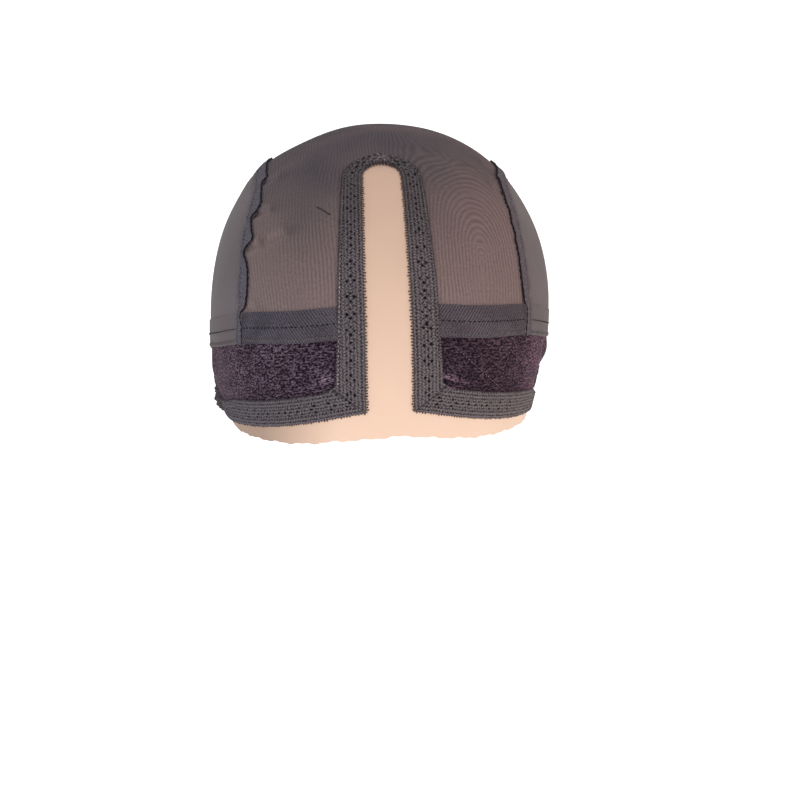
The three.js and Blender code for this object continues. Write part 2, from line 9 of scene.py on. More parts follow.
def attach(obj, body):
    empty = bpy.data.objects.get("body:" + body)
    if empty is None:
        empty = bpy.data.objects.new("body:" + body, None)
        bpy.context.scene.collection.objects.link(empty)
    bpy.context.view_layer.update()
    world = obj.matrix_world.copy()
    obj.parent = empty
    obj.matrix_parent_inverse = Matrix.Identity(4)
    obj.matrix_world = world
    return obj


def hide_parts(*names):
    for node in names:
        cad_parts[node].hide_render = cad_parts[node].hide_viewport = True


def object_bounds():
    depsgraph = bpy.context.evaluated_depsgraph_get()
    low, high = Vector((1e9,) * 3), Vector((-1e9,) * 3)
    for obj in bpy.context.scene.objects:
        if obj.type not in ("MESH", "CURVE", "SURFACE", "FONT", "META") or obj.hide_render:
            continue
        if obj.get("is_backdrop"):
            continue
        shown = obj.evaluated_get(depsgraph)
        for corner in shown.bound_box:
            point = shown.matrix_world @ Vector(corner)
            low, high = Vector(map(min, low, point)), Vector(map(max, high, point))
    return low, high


# Wig cap of stretch mesh, velvet, perforated elastic and lace, as it sits when worn.
# The shapes are worked out in millimetres about the middle of the cap's rounded form, and written in metres.
# +Z is up, the forehead faces -Y and +X is the wearer's left. Angles are in degrees.

bl_info = {
    "name": "Wig cap",
    "version": (1, 0, 0),
    "blender": (4, 5, 0),
    "location": "3D View > Sidebar > Wig cap",
    "description": "Cloth, lace, elastic and stitches of a wig cap with a U-shaped parting",
    "category": "Object",
}

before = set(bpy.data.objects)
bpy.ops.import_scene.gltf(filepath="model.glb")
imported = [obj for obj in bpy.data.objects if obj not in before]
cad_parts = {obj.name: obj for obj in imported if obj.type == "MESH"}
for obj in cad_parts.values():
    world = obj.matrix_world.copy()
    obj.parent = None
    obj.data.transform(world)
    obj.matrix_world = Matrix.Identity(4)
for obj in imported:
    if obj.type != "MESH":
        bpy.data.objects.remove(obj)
CAD_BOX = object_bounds()
MM = 0.001

# The cap's rounded form: half axes from its widest level, and its fullness
HALF_WIDTH = 75.0
TO_FOREHEAD = 101.5
TO_BACK = 82.3
TO_CROWN = 78.2
TO_CHIN_LEVEL = 94.8
FULLNESS = 2.24

# Cloth walls and the gaps between layers
PANEL_WALL = 1.0
TRIM_WALL = 1.0
LAYER_GAP = 0.35
SEAM_GAP = 0.4
TRIM_BASE = PANEL_WALL + LAYER_GAP

# Parting, elastic, band, seams and casing
PART_AT_FOREHEAD = 17.2
PART_AT_CROWN = 15.2
ELASTIC_WIDTH = 10.4
ELASTIC_ON_ARC = 7.2
BAND_WIDTH = 11.6
ALLOWANCE = 4.6
CASING_WIDTH = 15.0
CASING_WALL = 1.8
CASING_START_WIDTH = 8.2
GATHER_HEIGHT = 1.9
GATHER_PITCH = 8.0
GATHER_SPREAD = 0.35
ARC_CENTRE = 55.0
CASING_START = 57.5
CASING_FULL = 78.0
FOOT_END_WIDTH = 6.6
FOOT_NARROWS = 33.0
TUCK = 2.2
CORNER_ROUND = 3.2
ARC_TRIM = 1.5
TAPE_WIDTH = 7.0
BAND_CLOTH = 0.6
STITCHES_IN = 0.75
LACE_END = 59.0
VELVET_END = 97.0
ELASTIC_END = CASING_START - math.degrees(0.15 / HALF_WIDTH)

# Rough lengths, which set how many rows the crown's back, the side panels and the forehead's lace have
BACK_LENGTH = 230.0
SIDE_DEPTH = 62.0
LACE_DEPTH = 24.0

# Slots beside the elastic's edges, as distances from them, the holes of one group, each with its place along
# the group as a share and its side, and the casing's two stitched channels, as shares of its width
PARTING_SLOTS = (1.15,)
FOOT_SLOTS = (1.15, 2.9)
HOLES = ((0.0, 0.0), (0.25, -1.0), (0.25, 1.0), (0.5, 0.0), (0.75, -1.0), (0.75, 1.0))
CHANNELS = (0.17, 0.83)

# Pinholes of the seam allowances: their pitch, and each row's distance from the seam and its step along it as
# a share of the pitch
PINHOLE_PITCH = 2.1
PINHOLES = ((3.9, 0.0), (3.1, 0.5))

# Cloth in millimetres: for each radian round the form and along the side seams, and for each degree of band
CLOTH_ROUND = 88.0
SEAM_ROUND = 85.0
BAND_PER_DEGREE = 1.62

# Lower edge of the elastic and the casing, cut edge of the lace, and middle of the band
RIM = {
    "azimuth": [0, 6, 14, 26, 39, 47, 56, 63, 75, 90, 110, 130, 155, 180],
    "elevation": [0.4, -0.1, -2.5, -7.2, -13.1, -17.2, -20.9, -23, -25.6, -28.2, -31.6, -36, -41, -43],
}
LACE_EDGE = {
    "azimuth": [0, 10, 18, 28, 37, 47, 56, 59],
    "elevation": [-6.2, -7.5, -9.7, -12.8, -16.1, -20.2, -22.5, -23.0],
}
BAND = {
    "azimuth": [0, 10, 18, 36, 53, 66, 80, 90, 98],
    "elevation": [18.8, 18.5, 17.3, 13.7, 7.0, 1.2, -6.5, -12.6, -17.7],
}

# Side seams: distance from the middle, in shares of the form's half width
SEAM = {
    "over": [4, 16, 22, 28, 34, 39.5, 43, 47, 53, 55.5, 61, 70, 84, 100, 120, 150, 180, 225],
    "left": [
        0.690, 0.700, 0.698, 0.685, 0.679, 0.675, 0.673, 0.668, 0.662,
        0.660, 0.652, 0.650, 0.676, 0.712, 0.716, 0.696, 0.668, 0.620,
    ],
    "right": [
        0.706, 0.714, 0.699, 0.682, 0.682, 0.701, 0.664, 0.668, 0.668,
        0.631, 0.627, 0.626, 0.615, 0.628, 0.640, 0.648, 0.648, 0.610,
    ],
}

# How far the side seams' inner edge jumps from its even line, where the cloth is caught in folds, in mm
# towards the ear
JOGS = {
    "over": [
        12, 17.2, 19.6, 21.3, 23, 28.8, 36, 40.3, 42.4, 46, 52.2,
        53.5, 55, 59, 70.1, 71.9, 76, 88, 95, 101, 108,
    ],
    "left": [
        0, 0.3, 0.5, -0.3, -0.3, 0.2, 0.4, -0.2, 0.4, -0.3, 0.5,
        0.1, -0.5, 0.3, 0.6, -0.9, -0.2, 0, -2.2, -3.6, 0,
    ],
    "right": [
        0, -0.2, 1.5, 2.1, -0.1, 0.2, 0.3, 0.7, -0.7, 0.1, 0.3,
        -1.8, -0.3, 0.1, 0.8, -1.7, -0.6, 0.6, 0, -0.4, 0,
    ],
}

# Soft dents of the worn cap, as shares of the half width
DENTS = {
    "across": [-0.413, -0.947, 0.930, 0.920, -0.690, 0.900],
    "over": [104, -19, -7.5, -27, 84, -1.5],
    "reach": [0.20, 0.11, 0.075, 0.19, 0.13, 0.045],
    "depth": [1.7, -1.2, -1.8, 2.7, -1.6, 0.6],
}

# The cap is worn a little askew below its upper level
ASKEW = 2.2
ASKEW_FROM = 35.0
ASKEW_TO = -25.0

# Creases in the crown and the velvet: both ends as a distance from the middle and an angle over
# the top, how wide they are, and how far they rise or sink
CREASES = {
    "x_from": [-47.0, -49.5, -51.0, -42.0, -51.5, 50.0, 49.0, 19.5, 19.5, 19.6, -21.0],
    "over_from": [70.0, 53.0, 40.5, 40.3, 22.0, 84.0, 61.0, 7.3, 6.1, 4.8, 7.5],
    "x_to": [-34.0, -36.0, -42.0, -30.0, -43.0, 38.0, 40.0, 29.0, 28.0, 31.0, -31.0],
    "over_to": [65.0, 50.3, 40.2, 41.8, 22.2, 78.0, 63.0, 4.3, 3.6, 2.0, 5.0],
    "width": [1.5, 1.5, 1.6, 1.7, 1.3, 1.6, 1.4, 1.1, 1.0, 1.2, 1.8],
    "height": [-1.2, -1.3, -1.5, -1.2, -0.7, -0.8, -0.6, 1.0, -0.6, 0.9, 0.4],
}

# Quilting lines on the left velvet: ends as a distance from the middle and an angle over the top
QUILTING = {
    "x_from": [21.5, 52.0],
    "over_from": [14.2, 12.3],
    "x_to": [44.0, 32.5],
    "over_to": [-0.8, 5.3],
}


def table_value(table, column, at):
    """Value of a column where the first column is `at`: cubic pieces whose slopes join their neighbours."""
    places = np.array(next(iter(table.values())), float)
    values = np.array(table[column], float)
    last = len(places) - 1
    number = np.arange(last + 1)
    before, after = np.maximum(number - 1, 0), np.minimum(number + 1, last)
    slope = (values[after] - values[before]) / (places[after] - places[before])
    at = np.asarray(at, float)
    i = np.clip(np.searchsorted(places, at, side="right") - 1, 0, last - 1)
    step = places[i + 1] - places[i]
    t = np.clip((at - places[i]) / step, 0, 1)
    rise = t * t * (3 - 2 * t)
    bend = step * (slope[i] * (t**3 - 2 * t**2 + t) + slope[i + 1] * (t**3 - t**2))
    return values[i] + (values[i + 1] - values[i]) * rise + bend


def unit(vectors):
    """The vectors, each divided by its length."""
    return vectors / np.maximum(np.linalg.norm(vectors, axis=-1, keepdims=True), 1e-12)


def half_axes(points):
    """Half axes of the form towards each point: they differ in front and behind, above and below."""
    return np.stack([
        np.full(points.shape[:-1], HALF_WIDTH),
        np.where(points[..., 1] < 0, TO_FOREHEAD, TO_BACK),
        np.where(points[..., 2] > 0, TO_CROWN, TO_CHIN_LEVEL),
    ], axis=-1)


def on_form(points):
    """Points moved along their rays from the middle to where the sum of (coordinate / half axis) to the
    fullness is 1."""
    level = (np.abs(points / half_axes(points)) ** FULLNESS).sum(-1, keepdims=True)
    return points * level ** (-1 / FULLNESS)


def outward(points):
    """Direction straight out of the form: the gradient of its equation."""
    axes = half_axes(points)
    return unit(np.sign(points) * np.abs(points / axes) ** (FULLNESS - 1) / axes)


def stacked(*parts):
    """Points from their three coordinates, of which some may be single numbers."""
    return np.stack(np.broadcast_arrays(*[np.asarray(part, float) for part in parts]), axis=-1)


def aim(azimuth, elevation, side=1.0):
    """Point of the form at an azimuth and elevation, on the side given by -1 or 1."""
    turn, rise = np.radians(azimuth), np.radians(elevation)
    return on_form(stacked(
        side * np.sin(turn) * np.cos(rise), -np.cos(turn) * np.cos(rise), np.sin(rise)
    ))


def over(x, angle):
    """Point of the form at a distance x from the middle and an angle over the top."""
    turn = np.radians(angle)
    rim = on_form(stacked(0.0 * turn, -np.cos(turn), np.sin(turn)))
    share = (1 - np.abs(np.asarray(x) / HALF_WIDTH) ** FULLNESS) ** (1 / FULLNESS)
    return stacked(x + 0 * turn, rim[..., 1] * share, rim[..., 2] * share)


def beside(points, along, distance):
    """Points beside others on the form, to the left of a direction of travel seen from outside."""
    across = unit(np.cross(outward(points), along))
    return on_form(points + across * np.asarray(distance)[..., None])


def elevation_of(points):
    """Angle above the widest level, seen from the middle."""
    return np.degrees(np.arctan2(points[..., 2], np.hypot(points[..., 0], points[..., 1])))


def azimuth_of(points):
    """Angle from the forehead towards either ear and the back, from 0 to 180."""
    return np.degrees(np.arctan2(np.abs(points[..., 0]), -points[..., 1]))


def angle_over(points):
    """Angle over the top, from the forehead's widest level, in degrees from -90 to 270."""
    return (np.degrees(np.arctan2(points[..., 2], -points[..., 1])) + 90) % 360 - 90


def ease(values):
    """Smooth step from 0 to 1."""
    t = np.clip(values, 0, 1)
    return t * t * (3 - 2 * t)


def bump(values):
    """Bell curve of height 1 that falls to 1/e at a distance of 1."""
    return np.exp(-values**2)


def lifted(points, height):
    """Points above the form by a height, less the worn dents, leaned askew and dropped to the cap's
    origin."""
    height = np.asarray(height, float) + np.zeros(points.shape[:-1])
    for across, angle, reach, depth in zip(*DENTS.values()):
        away = np.linalg.norm(points - over(across * HALF_WIDTH, angle), axis=-1) / (reach * HALF_WIDTH)
        height = height - depth * bump(away)
    lean = ASKEW * ease((ASKEW_FROM - points[..., 2]) / (ASKEW_FROM - ASKEW_TO))
    shift = stacked(-lean * np.abs(points[..., 0]) / HALF_WIDTH, 0.0, -TO_CROWN)
    return points + outward(points) * height[..., None] + shift


def line_distance(points, ends):
    """Distance from the straight line between two points of the form, and the share along it."""
    start, finish = ends
    run = finish - start
    share = ((points - start) @ run) / (run @ run)
    nearest = start + np.clip(share, 0, 1)[..., None] * run
    return np.linalg.norm(points - nearest, axis=-1), share


def crease_height(points):
    """Rise of the creases: a bell across each line, which fades towards its far end."""
    total = np.zeros(points.shape[:-1])
    for x0, over0, x1, over1, width, height in zip(*CREASES.values()):
        away, share = line_distance(points, (over(x0, over0), over(x1, over1)))
        total += height * bump(away / width) * (1 - 0.65 * ease(share))
    return total


def quilting_depth(points):
    """Depth of the grooves that the quilting stitches pull into the velvet."""
    total = np.zeros(points.shape[:-1])
    for x0, over0, x1, over1 in zip(*QUILTING.values()):
        away, _ = line_distance(points, (over(x0, over0), over(x1, over1)))
        total = np.maximum(total, bump(away / 1.1))
    return total


def ripple(points, pitch, seed, octaves=2):
    """Soft unevenness from -1 to 1: sums of sine waves in random directions, the same ones each time."""
    draw = np.random.default_rng(seed)
    total, weight = np.zeros(points.shape[:-1]), 0.0
    for octave in range(octaves):
        for _ in range(5):
            way = unit(draw.normal(size=3)) * 2 * np.pi / (pitch / 2**octave)
            total += np.sin(points @ way + draw.uniform(0, 2 * np.pi)) / 2**octave
            weight += 1 / 2**octave
    return total / weight * 1.6


# Lines that the pieces share


class Track:
    """A line on the form, read by the distance along it in millimetres."""

    def __init__(self, points):
        self.points = points
        steps = np.linalg.norm(np.diff(points, axis=0), axis=1)
        self.marks = np.concatenate([[0], np.cumsum(steps)])
        self.length = self.marks[-1]

    def at(self, distance):
        parts = [np.interp(distance, self.marks, self.points[:, k]) for k in range(3)]
        return on_form(np.stack(parts, axis=-1))

    def beside(self, distance, across):
        step = 0.6
        along = self.at(distance + step) - self.at(distance - step)
        return beside(self.at(distance), along, across)

    def evenly(self, count):
        return self.at(np.linspace(0, self.length, count + 1))


def rim_at(azimuth):
    return table_value(RIM, "elevation", azimuth)


def band_at(azimuth):
    return table_value(BAND, "elevation", azimuth)


def casing_width_at(azimuth):
    """The casing starts a little narrower than the elastic that it carries on from."""
    widened = ease((azimuth - CASING_START) / (CASING_FULL - CASING_START))
    return CASING_START_WIDTH + (CASING_WIDTH - CASING_START_WIDTH) * widened


def raised_line(elevation_at, distance_at):
    """Elevation for each azimuth of a line that runs at a distance up the form from another one."""
    azimuths = np.linspace(0, 180, 721)
    line = aim(azimuths, elevation_at(azimuths))
    raised = beside(line, np.gradient(line, axis=0), distance_at(azimuths))
    marks, heights = azimuth_of(raised), elevation_of(raised)
    return lambda azimuth: np.interp(azimuth, marks, heights)


casing_top_at = raised_line(
    rim_at, lambda azimuth: casing_width_at(azimuth) + GATHER_SPREAD * GATHER_HEIGHT + SEAM_GAP
)
tucked_top_at = raised_line(rim_at, lambda azimuth: casing_width_at(azimuth) - TUCK)
band_top_at = raised_line(band_at, lambda azimuth: 0 * azimuth + BAND_WIDTH / 2)
band_bottom_at = raised_line(band_at, lambda azimuth: 0 * azimuth - BAND_WIDTH / 2)
above_band_seam_at = raised_line(band_at, lambda azimuth: 0 * azimuth + SEAM_GAP / 2)
below_band_seam_at = raised_line(band_at, lambda azimuth: 0 * azimuth - SEAM_GAP / 2)


def seam_point(side, angle, distance=ALLOWANCE / 2, steady=0.0, jogged=0.0):
    """Point of a side seam, moved towards the ear. `steady` evens the seam's line out, and `jogged` adds its
    jogs, both from 0 to 1."""
    column = "left" if side > 0 else "right"
    share = table_value(SEAM, column, angle)
    even = sum(table_value(SEAM, column, angle + shift) for shift in (-9, -4.5, 0, 4.5, 9)) / 5
    share = share + (even - share) * np.asarray(steady)
    turn = np.radians(angle)
    travel = stacked(0.0 * turn, np.sin(turn), np.cos(turn))
    point = over(side * share * HALF_WIDTH, angle)
    distance = np.asarray(distance) + jogged * np.interp(angle, JOGS["over"], JOGS[column])
    return beside(point, travel, -side * distance + 0 * turn)


def seam_crossing(side, start, finish, elevation_at):
    """Angle over the top at which a side seam crosses a line, by halving the range."""
    def gap(angle):
        point = seam_point(side, np.array(angle))
        return float(elevation_of(point) - elevation_at(azimuth_of(point)))
    low, high = start, finish
    sign = np.sign(gap(low))
    for _ in range(40):
        middle = (low + high) / 2
        low, high = (middle, high) if np.sign(gap(middle)) == sign else (low, middle)
    return low


def seam_ends(side, lowest_at=band_at):
    """Angles at which a side seam starts at the band and ends at the casing."""
    start = seam_crossing(side, SEAM["over"][0], ARC_CENTRE, lowest_at)
    return start, seam_crossing(side, ARC_CENTRE, SEAM["over"][-1], tucked_top_at)


def mirrored(points):
    """The points on the other side."""
    return points * np.array([-1.0, 1.0, 1.0])


CORNER_AZIMUTH = math.degrees(math.asin(PART_AT_FOREHEAD / 2 / TO_FOREHEAD))
CORNER_OVER = float(rim_at(CORNER_AZIMUTH))
MITRE_ANGLE = math.degrees((ELASTIC_WIDTH + SEAM_GAP) / TO_FOREHEAD)


def parting_track():
    """Inner edge of the elastic round the parting: up one riser, round a half circle and down the other."""
    radius = PART_AT_CROWN / 2
    angle = np.linspace(CORNER_OVER, ARC_CENTRE, 240)
    climb = np.clip((angle - CORNER_OVER - MITRE_ANGLE) / (ARC_CENTRE - CORNER_OVER - MITRE_ANGLE), 0, 1)
    riser = over(-(PART_AT_FOREHEAD / 2 + (radius - PART_AT_FOREHEAD / 2) * climb), angle)
    turn = np.linspace(0, np.pi / 2, 40)[1:]
    scale = np.degrees(1 / np.linalg.norm(over(0.0, np.array(ARC_CENTRE))))
    arc = over(-radius * np.cos(turn), ARC_CENTRE + radius * np.sin(turn) * scale)
    half = np.concatenate([riser, arc])
    return Track(np.concatenate([half, mirrored(half[:-1][::-1])]))


def foot_track(side):
    """Lower edge of the elastic's foot, from the casing to the corner on the right, and back on the left."""
    azimuth = np.linspace(ELASTIC_END, CORNER_AZIMUTH, 300)
    points = aim(azimuth, rim_at(azimuth), -1.0)
    return Track(points if side < 0 else mirrored(points[::-1]))


FEET = {-1: foot_track(-1), 1: foot_track(1)}
PARTING = parting_track()
RISER_LENGTH = float(PARTING.marks[239])


def parting_width(distance):
    """Width of the elastic along the parting: full at the corners, and narrower round the arc."""
    length = PARTING.length
    places = [0, ELASTIC_WIDTH, RISER_LENGTH, length - RISER_LENGTH, length - ELASTIC_WIDTH, length]
    widths = [ELASTIC_WIDTH, ELASTIC_WIDTH, ELASTIC_ON_ARC, ELASTIC_ON_ARC, ELASTIC_WIDTH, ELASTIC_WIDTH]
    return np.interp(distance, places, widths)


def foot_width(side):
    """Width of a foot by the distance along it: it turns under towards its end, and looks narrower."""
    track = FEET[side]
    azimuths = azimuth_of(track.points)
    narrowed = ease((azimuths - FOOT_NARROWS) / (ELASTIC_END - FOOT_NARROWS))
    widths = ELASTIC_WIDTH + (FOOT_END_WIDTH - ELASTIC_WIDTH) * narrowed
    return lambda distance: np.interp(distance, track.marks, widths)


def under_elastic(offset):
    """Line under the middle of the elastic, moved by an offset away from the lace: the right foot up to
    its mitre, the parting between its mitres, and the left foot."""
    across = ELASTIC_WIDTH / 2 + offset
    spacing = 0.8
    foot = np.arange(0, FEET[-1].length - across, spacing)
    right_foot = FEET[-1].beside(foot, foot_width(-1)(foot) / 2 + offset)
    along = np.arange(across + spacing / 2, PARTING.length - across, spacing)
    round_part = PARTING.beside(along, parting_width(along) / 2 + offset)
    corner = FEET[-1].beside(np.array([FEET[-1].length - across]), np.array([across]))
    return {
        "right_foot": np.concatenate([right_foot, corner]),
        "parting": np.concatenate([corner, round_part, mirrored(corner)]),
    }


def cut_at(line, elevation_at):
    """The part of a rising line below another line, and the part above it. Both have the point between."""
    above = elevation_of(line) - elevation_at(azimuth_of(line))
    i = int(np.argmax(above > 0))
    share = above[i - 1] / (above[i - 1] - above[i])
    meeting = on_form(line[i - 1] + share * (line[i] - line[i - 1]))[None]
    return np.concatenate([line[:i], meeting]), np.concatenate([meeting, line[i:]])


def evenly(line, count):
    """A line cut into equal steps, with its own two ends."""
    points = Track(line).evenly(count)
    points[0], points[-1] = line[0], line[-1]
    return points


def straight(start, finish, count):
    """Equal steps of the straight line between two points, put on the form."""
    share = np.linspace(0, 1, count + 1)[:, None]
    points = on_form(start + (finish - start) * share)
    points[0], points[-1] = start, finish
    return points


def patch(bottom, top, start, end):
    """Rows of points between four edges: the two ruled surfaces added, less the one through the corners,
    put on the form."""
    v = np.linspace(0, 1, len(start))[:, None, None]
    u = np.linspace(0, 1, len(bottom))[None, :, None]
    ruled = (1 - v) * bottom + v * top + (1 - u) * start[:, None] + u * end[:, None]
    corners = (1 - u) * ((1 - v) * bottom[0] + v * top[0]) + u * ((1 - v) * bottom[-1] + v * top[-1])
    rows = on_form(ruled - corners)
    rows[:, 0], rows[:, -1] = start, end
    rows[0], rows[-1] = bottom, top
    return rows


def all_round(elevation_at, turns):
    """Line of the form at azimuths that run on past the back to the wearer's right side."""
    folded = np.where(turns > 180, 360 - turns, turns)
    return aim(folded, elevation_at(folded), np.where(turns > 180, -1.0, 1.0))


CASING_TURNS = np.linspace(CASING_START, 360 - CASING_START, 1200)
CASING = Track(all_round(rim_at, CASING_TURNS))
GATHERS = round(CASING.length / GATHER_PITCH)


def gather_phase(points):
    """Number of gathers of the casing from its start to the level of each point, from the azimuth."""
    turn = np.degrees(np.arctan2(points[..., 0], -points[..., 1])) % 360
    return np.interp(turn, CASING_TURNS, CASING.marks / CASING.length * GATHERS)


def gather_swell(phase):
    """Height of the gathers as a share: rounded folds of uneven height, with sharp valleys between."""
    draw = np.random.default_rng(11)
    sizes = draw.uniform(0.62, 1.0, 64)
    bends = draw.uniform(-0.16, 0.16, 65)
    i = np.clip(phase.astype(int), 0, 63)
    t = phase - i
    return sizes[i] * np.abs(np.sin(np.pi * (t + bends[i] * np.sin(np.pi * t) ** 2)))


def pull_of_gathers(points):
    """Folds that the gathered casing pulls into the cloth above it, fading upwards."""
    turn = azimuth_of(points)
    above = (elevation_of(points) - casing_top_at(turn)) * math.radians(1) * HALF_WIDTH
    fade = bump(np.maximum(above, 0) / 11.0) * ease((turn - 66) / 14)
    return 1.15 * fade * gather_swell(gather_phase(points))


# Meshes

SHARP_EDGE = 55


def new_object(name, points, faces, cloth, shade, material, slot_name, replaces=()):
    """A mesh object in metres, with its faces turned out, riding on the root body. `cloth` holds each point's
    place in the cloth in millimetres, and `shade` the painted light and shade of its colour, from -1 to 1:
    above
    0 where shade is painted, in holes, folds and creases, and below 0 where a highlight is painted."""
    a, b, c = (points[faces[:, k]] for k in range(3))
    if float((a * np.cross(b, c)).sum()) < 0:
        faces = faces[:, ::-1]
    mesh = bpy.data.meshes.new(name)
    mesh.vertices.add(len(points))
    mesh.vertices.foreach_set("co", (points * MM).astype(np.float32).ravel())
    mesh.loops.add(faces.size)
    mesh.loops.foreach_set("vertex_index", faces.astype(np.int32).ravel())
    mesh.polygons.add(len(faces))
    mesh.polygons.foreach_set("loop_start", np.arange(0, faces.size, 3, dtype=np.int32))
    mesh.update(calc_edges=True)
    mesh.validate()
    layer = mesh.attributes.new("cloth", "FLOAT_VECTOR", "POINT")
    layer.data.foreach_set("vector", cloth.astype(np.float32).ravel())
    layer = mesh.attributes.new("shade", "FLOAT", "POINT")
    layer.data.foreach_set("value", shade.astype(np.float32).ravel())
    mesh.shade_smooth()
    mesh.set_sharp_from_angle(angle=math.radians(SHARP_EDGE))
    mesh.materials.append(material)
    piece = bpy.data.objects.new(name, mesh)
    bpy.context.scene.collection.objects.link(piece)
    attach(piece, "root")
    if replaces:
        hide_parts(*replaces)
    return piece


def sheet_piece(name, patches, low, **facts):
    """Closed cloth made of patches that share edge points. Each patch is (points, rise, cloth, shade), where
    rise is the outer side's height and low the inner side's below it. Every grid cell gives two triangles."""
    points = np.concatenate([p[0].reshape(-1, 3) for p in patches])
    high = np.concatenate([np.broadcast_to(p[1], p[0].shape[:-1]).ravel() for p in patches])
    cloth = np.concatenate([p[2].reshape(-1, 3) for p in patches])
    shade = np.concatenate([np.broadcast_to(p[3], p[0].shape[:-1]).ravel() for p in patches])
    _, first, number = np.unique(np.round(points, 3), axis=0, return_index=True, return_inverse=True)
    number = number.ravel()
    cells, offset = [], 0
    for rows, *_ in patches:
        grid = offset + np.arange(rows.shape[0] * rows.shape[1]).reshape(rows.shape[:2])
        offset += grid.size
        a, b, c, d = grid[:-1, :-1], grid[:-1, 1:], grid[1:, 1:], grid[1:, :-1]
        cells += [np.stack([a, b, c], -1).reshape(-1, 3), np.stack([a, c, d], -1).reshape(-1, 3)]
    faces = number[np.concatenate(cells)]
    whole = (faces[:, 0] != faces[:, 1]) & (faces[:, 1] != faces[:, 2]) & (faces[:, 2] != faces[:, 0])
    faces = faces[whole]
    count = len(first)
    edges = np.concatenate([faces[:, [0, 1]], faces[:, [1, 2]], faces[:, [2, 0]]])
    keys, opposite = edges[:, 0] * count + edges[:, 1], edges[:, 1] * count + edges[:, 0]
    rim = edges[~np.isin(keys, opposite)]
    walls = np.concatenate([
        np.stack([rim[:, 1], rim[:, 0], rim[:, 0] + count], -1),
        np.stack([rim[:, 1], rim[:, 0] + count, rim[:, 1] + count], -1),
    ])
    flat, high = points[first], high[first]
    outer, inner = lifted(flat, high), lifted(flat, high - low)
    triangles = np.concatenate([faces, walls, faces[:, ::-1] + count])
    return new_object(
        name, np.concatenate([outer, inner]), triangles,
        cloth=np.tile(cloth[first], (2, 1)), shade=np.tile(shade[first], 2), **facts,
    )


def ring_faces(rings, size, closed_ends=True):
    """Triangles between rings of points that follow each other, and fans over the two end rings."""
    i = np.arange(rings - 1)[:, None] * size
    k = np.arange(size)[None, :]
    a, b = i + k, i + (k + 1) % size
    faces = [
        np.stack([a, b, b + size], -1).reshape(-1, 3),
        np.stack([a, b + size, a + size], -1).reshape(-1, 3),
    ]
    if closed_ends:
        fan = np.arange(1, size - 1)
        last = (rings - 1) * size
        faces.append(np.stack([0 * fan, fan + 1, fan], -1))
        faces.append(np.stack([0 * fan, fan, fan + 1], -1) + last)
    return np.concatenate(faces)


def swept_piece(name, rings, cloth, shade, **facts):
    """A closed profile carried along a path: rings is (steps, points, 3)."""
    faces = ring_faces(rings.shape[0], rings.shape[1])
    return new_object(name, rings.reshape(-1, 3), faces, cloth.reshape(-1, 3), shade.ravel(), **facts)


def tube_rings(path, radius, sides):
    """Round rings across a path of points, square to its direction."""
    along = unit(np.gradient(path, axis=0))
    up = unit(np.cross(along, unit(np.cross(path + np.array([0, 0, TO_CROWN]), along))))
    across = np.cross(along, up)
    turn = np.linspace(0, 2 * np.pi, sides, endpoint=False)[None, :, None]
    wide = np.asarray(radius) * np.ones(len(path))
    return path[:, None] + wide[:, None, None] * (np.cos(turn) * across[:, None] + np.sin(turn) * up[:, None])


def thread_piece(name, path, radius, sides=6, **facts):
    """A thread: round rings carried along a path, closed at both ends."""
    rings = tube_rings(path, radius, sides)
    steps = np.linalg.norm(np.diff(path, axis=0), axis=1)
    along = np.concatenate([[0], np.cumsum(steps)])[:, None] + np.zeros((1, sides))
    cloth = stacked(along, np.arange(sides)[None, :] + 0 * along, 0.0)
    return swept_piece(name, rings, cloth, np.zeros(rings.shape[:2]), **facts)


def stitches_piece(name, pairs, radius, arch, **facts):
    """Short stitches, given as pairs of their starts and their ends: each is a tube of five rings that swells
    in the middle and arches over the cloth, closed to a point at both ends."""
    starts, ends = (np.concatenate(points) for points in zip(*pairs))
    rings, sides = 5, 6
    t = np.linspace(0.04, 0.96, rings)
    centre = starts[:, None] + (ends - starts)[:, None] * t[None, :, None]
    out = unit((starts + ends) / 2 + np.array([0, 0, TO_CROWN]))
    along = unit(ends - starts)
    across = unit(np.cross(out, along))
    out = np.cross(along, across)
    swell = np.sin(np.pi * t) ** 0.5
    centre = centre + out[:, None] * (arch * np.sin(np.pi * t))[None, :, None]
    turn = np.linspace(0, 2 * np.pi, sides, endpoint=False)
    spoke = (
        np.cos(turn)[None, None, :, None] * across[:, None, None]
        + np.sin(turn)[None, None, :, None] * out[:, None, None]
    )
    body = centre[:, :, None] + spoke * (radius * swell)[None, :, None, None]
    tips = np.stack([starts, ends], axis=1)
    points = np.concatenate([body.reshape(len(starts), -1, 3), tips], axis=1)
    one = ring_faces(rings, sides, closed_ends=False)
    k = np.arange(sides)
    foot, head, last = rings * sides, rings * sides + 1, (rings - 1) * sides
    caps = [
        np.stack([0 * k + foot, (k + 1) % sides, k], -1),
        np.stack([0 * k + head, last + k, last + (k + 1) % sides], -1),
    ]
    one = np.concatenate([one] + caps)
    per_stitch = rings * sides + 2
    faces = (np.arange(len(starts))[:, None, None] * per_stitch + one[None]).reshape(-1, 3)
    flat = points.reshape(-1, 3)
    return new_object(name, flat, faces, flat, np.zeros(len(flat)), **facts)


def dashes(length, pitch, share, seed):
    """Starts and ends of stitches along a line, a little uneven."""
    draw = np.random.default_rng(seed)
    start = np.arange(pitch / 2, length - pitch, pitch)
    start = start + draw.uniform(-0.12, 0.12, len(start)) * pitch
    return start, start + pitch * share * draw.uniform(0.85, 1.1, len(start))


# Materials


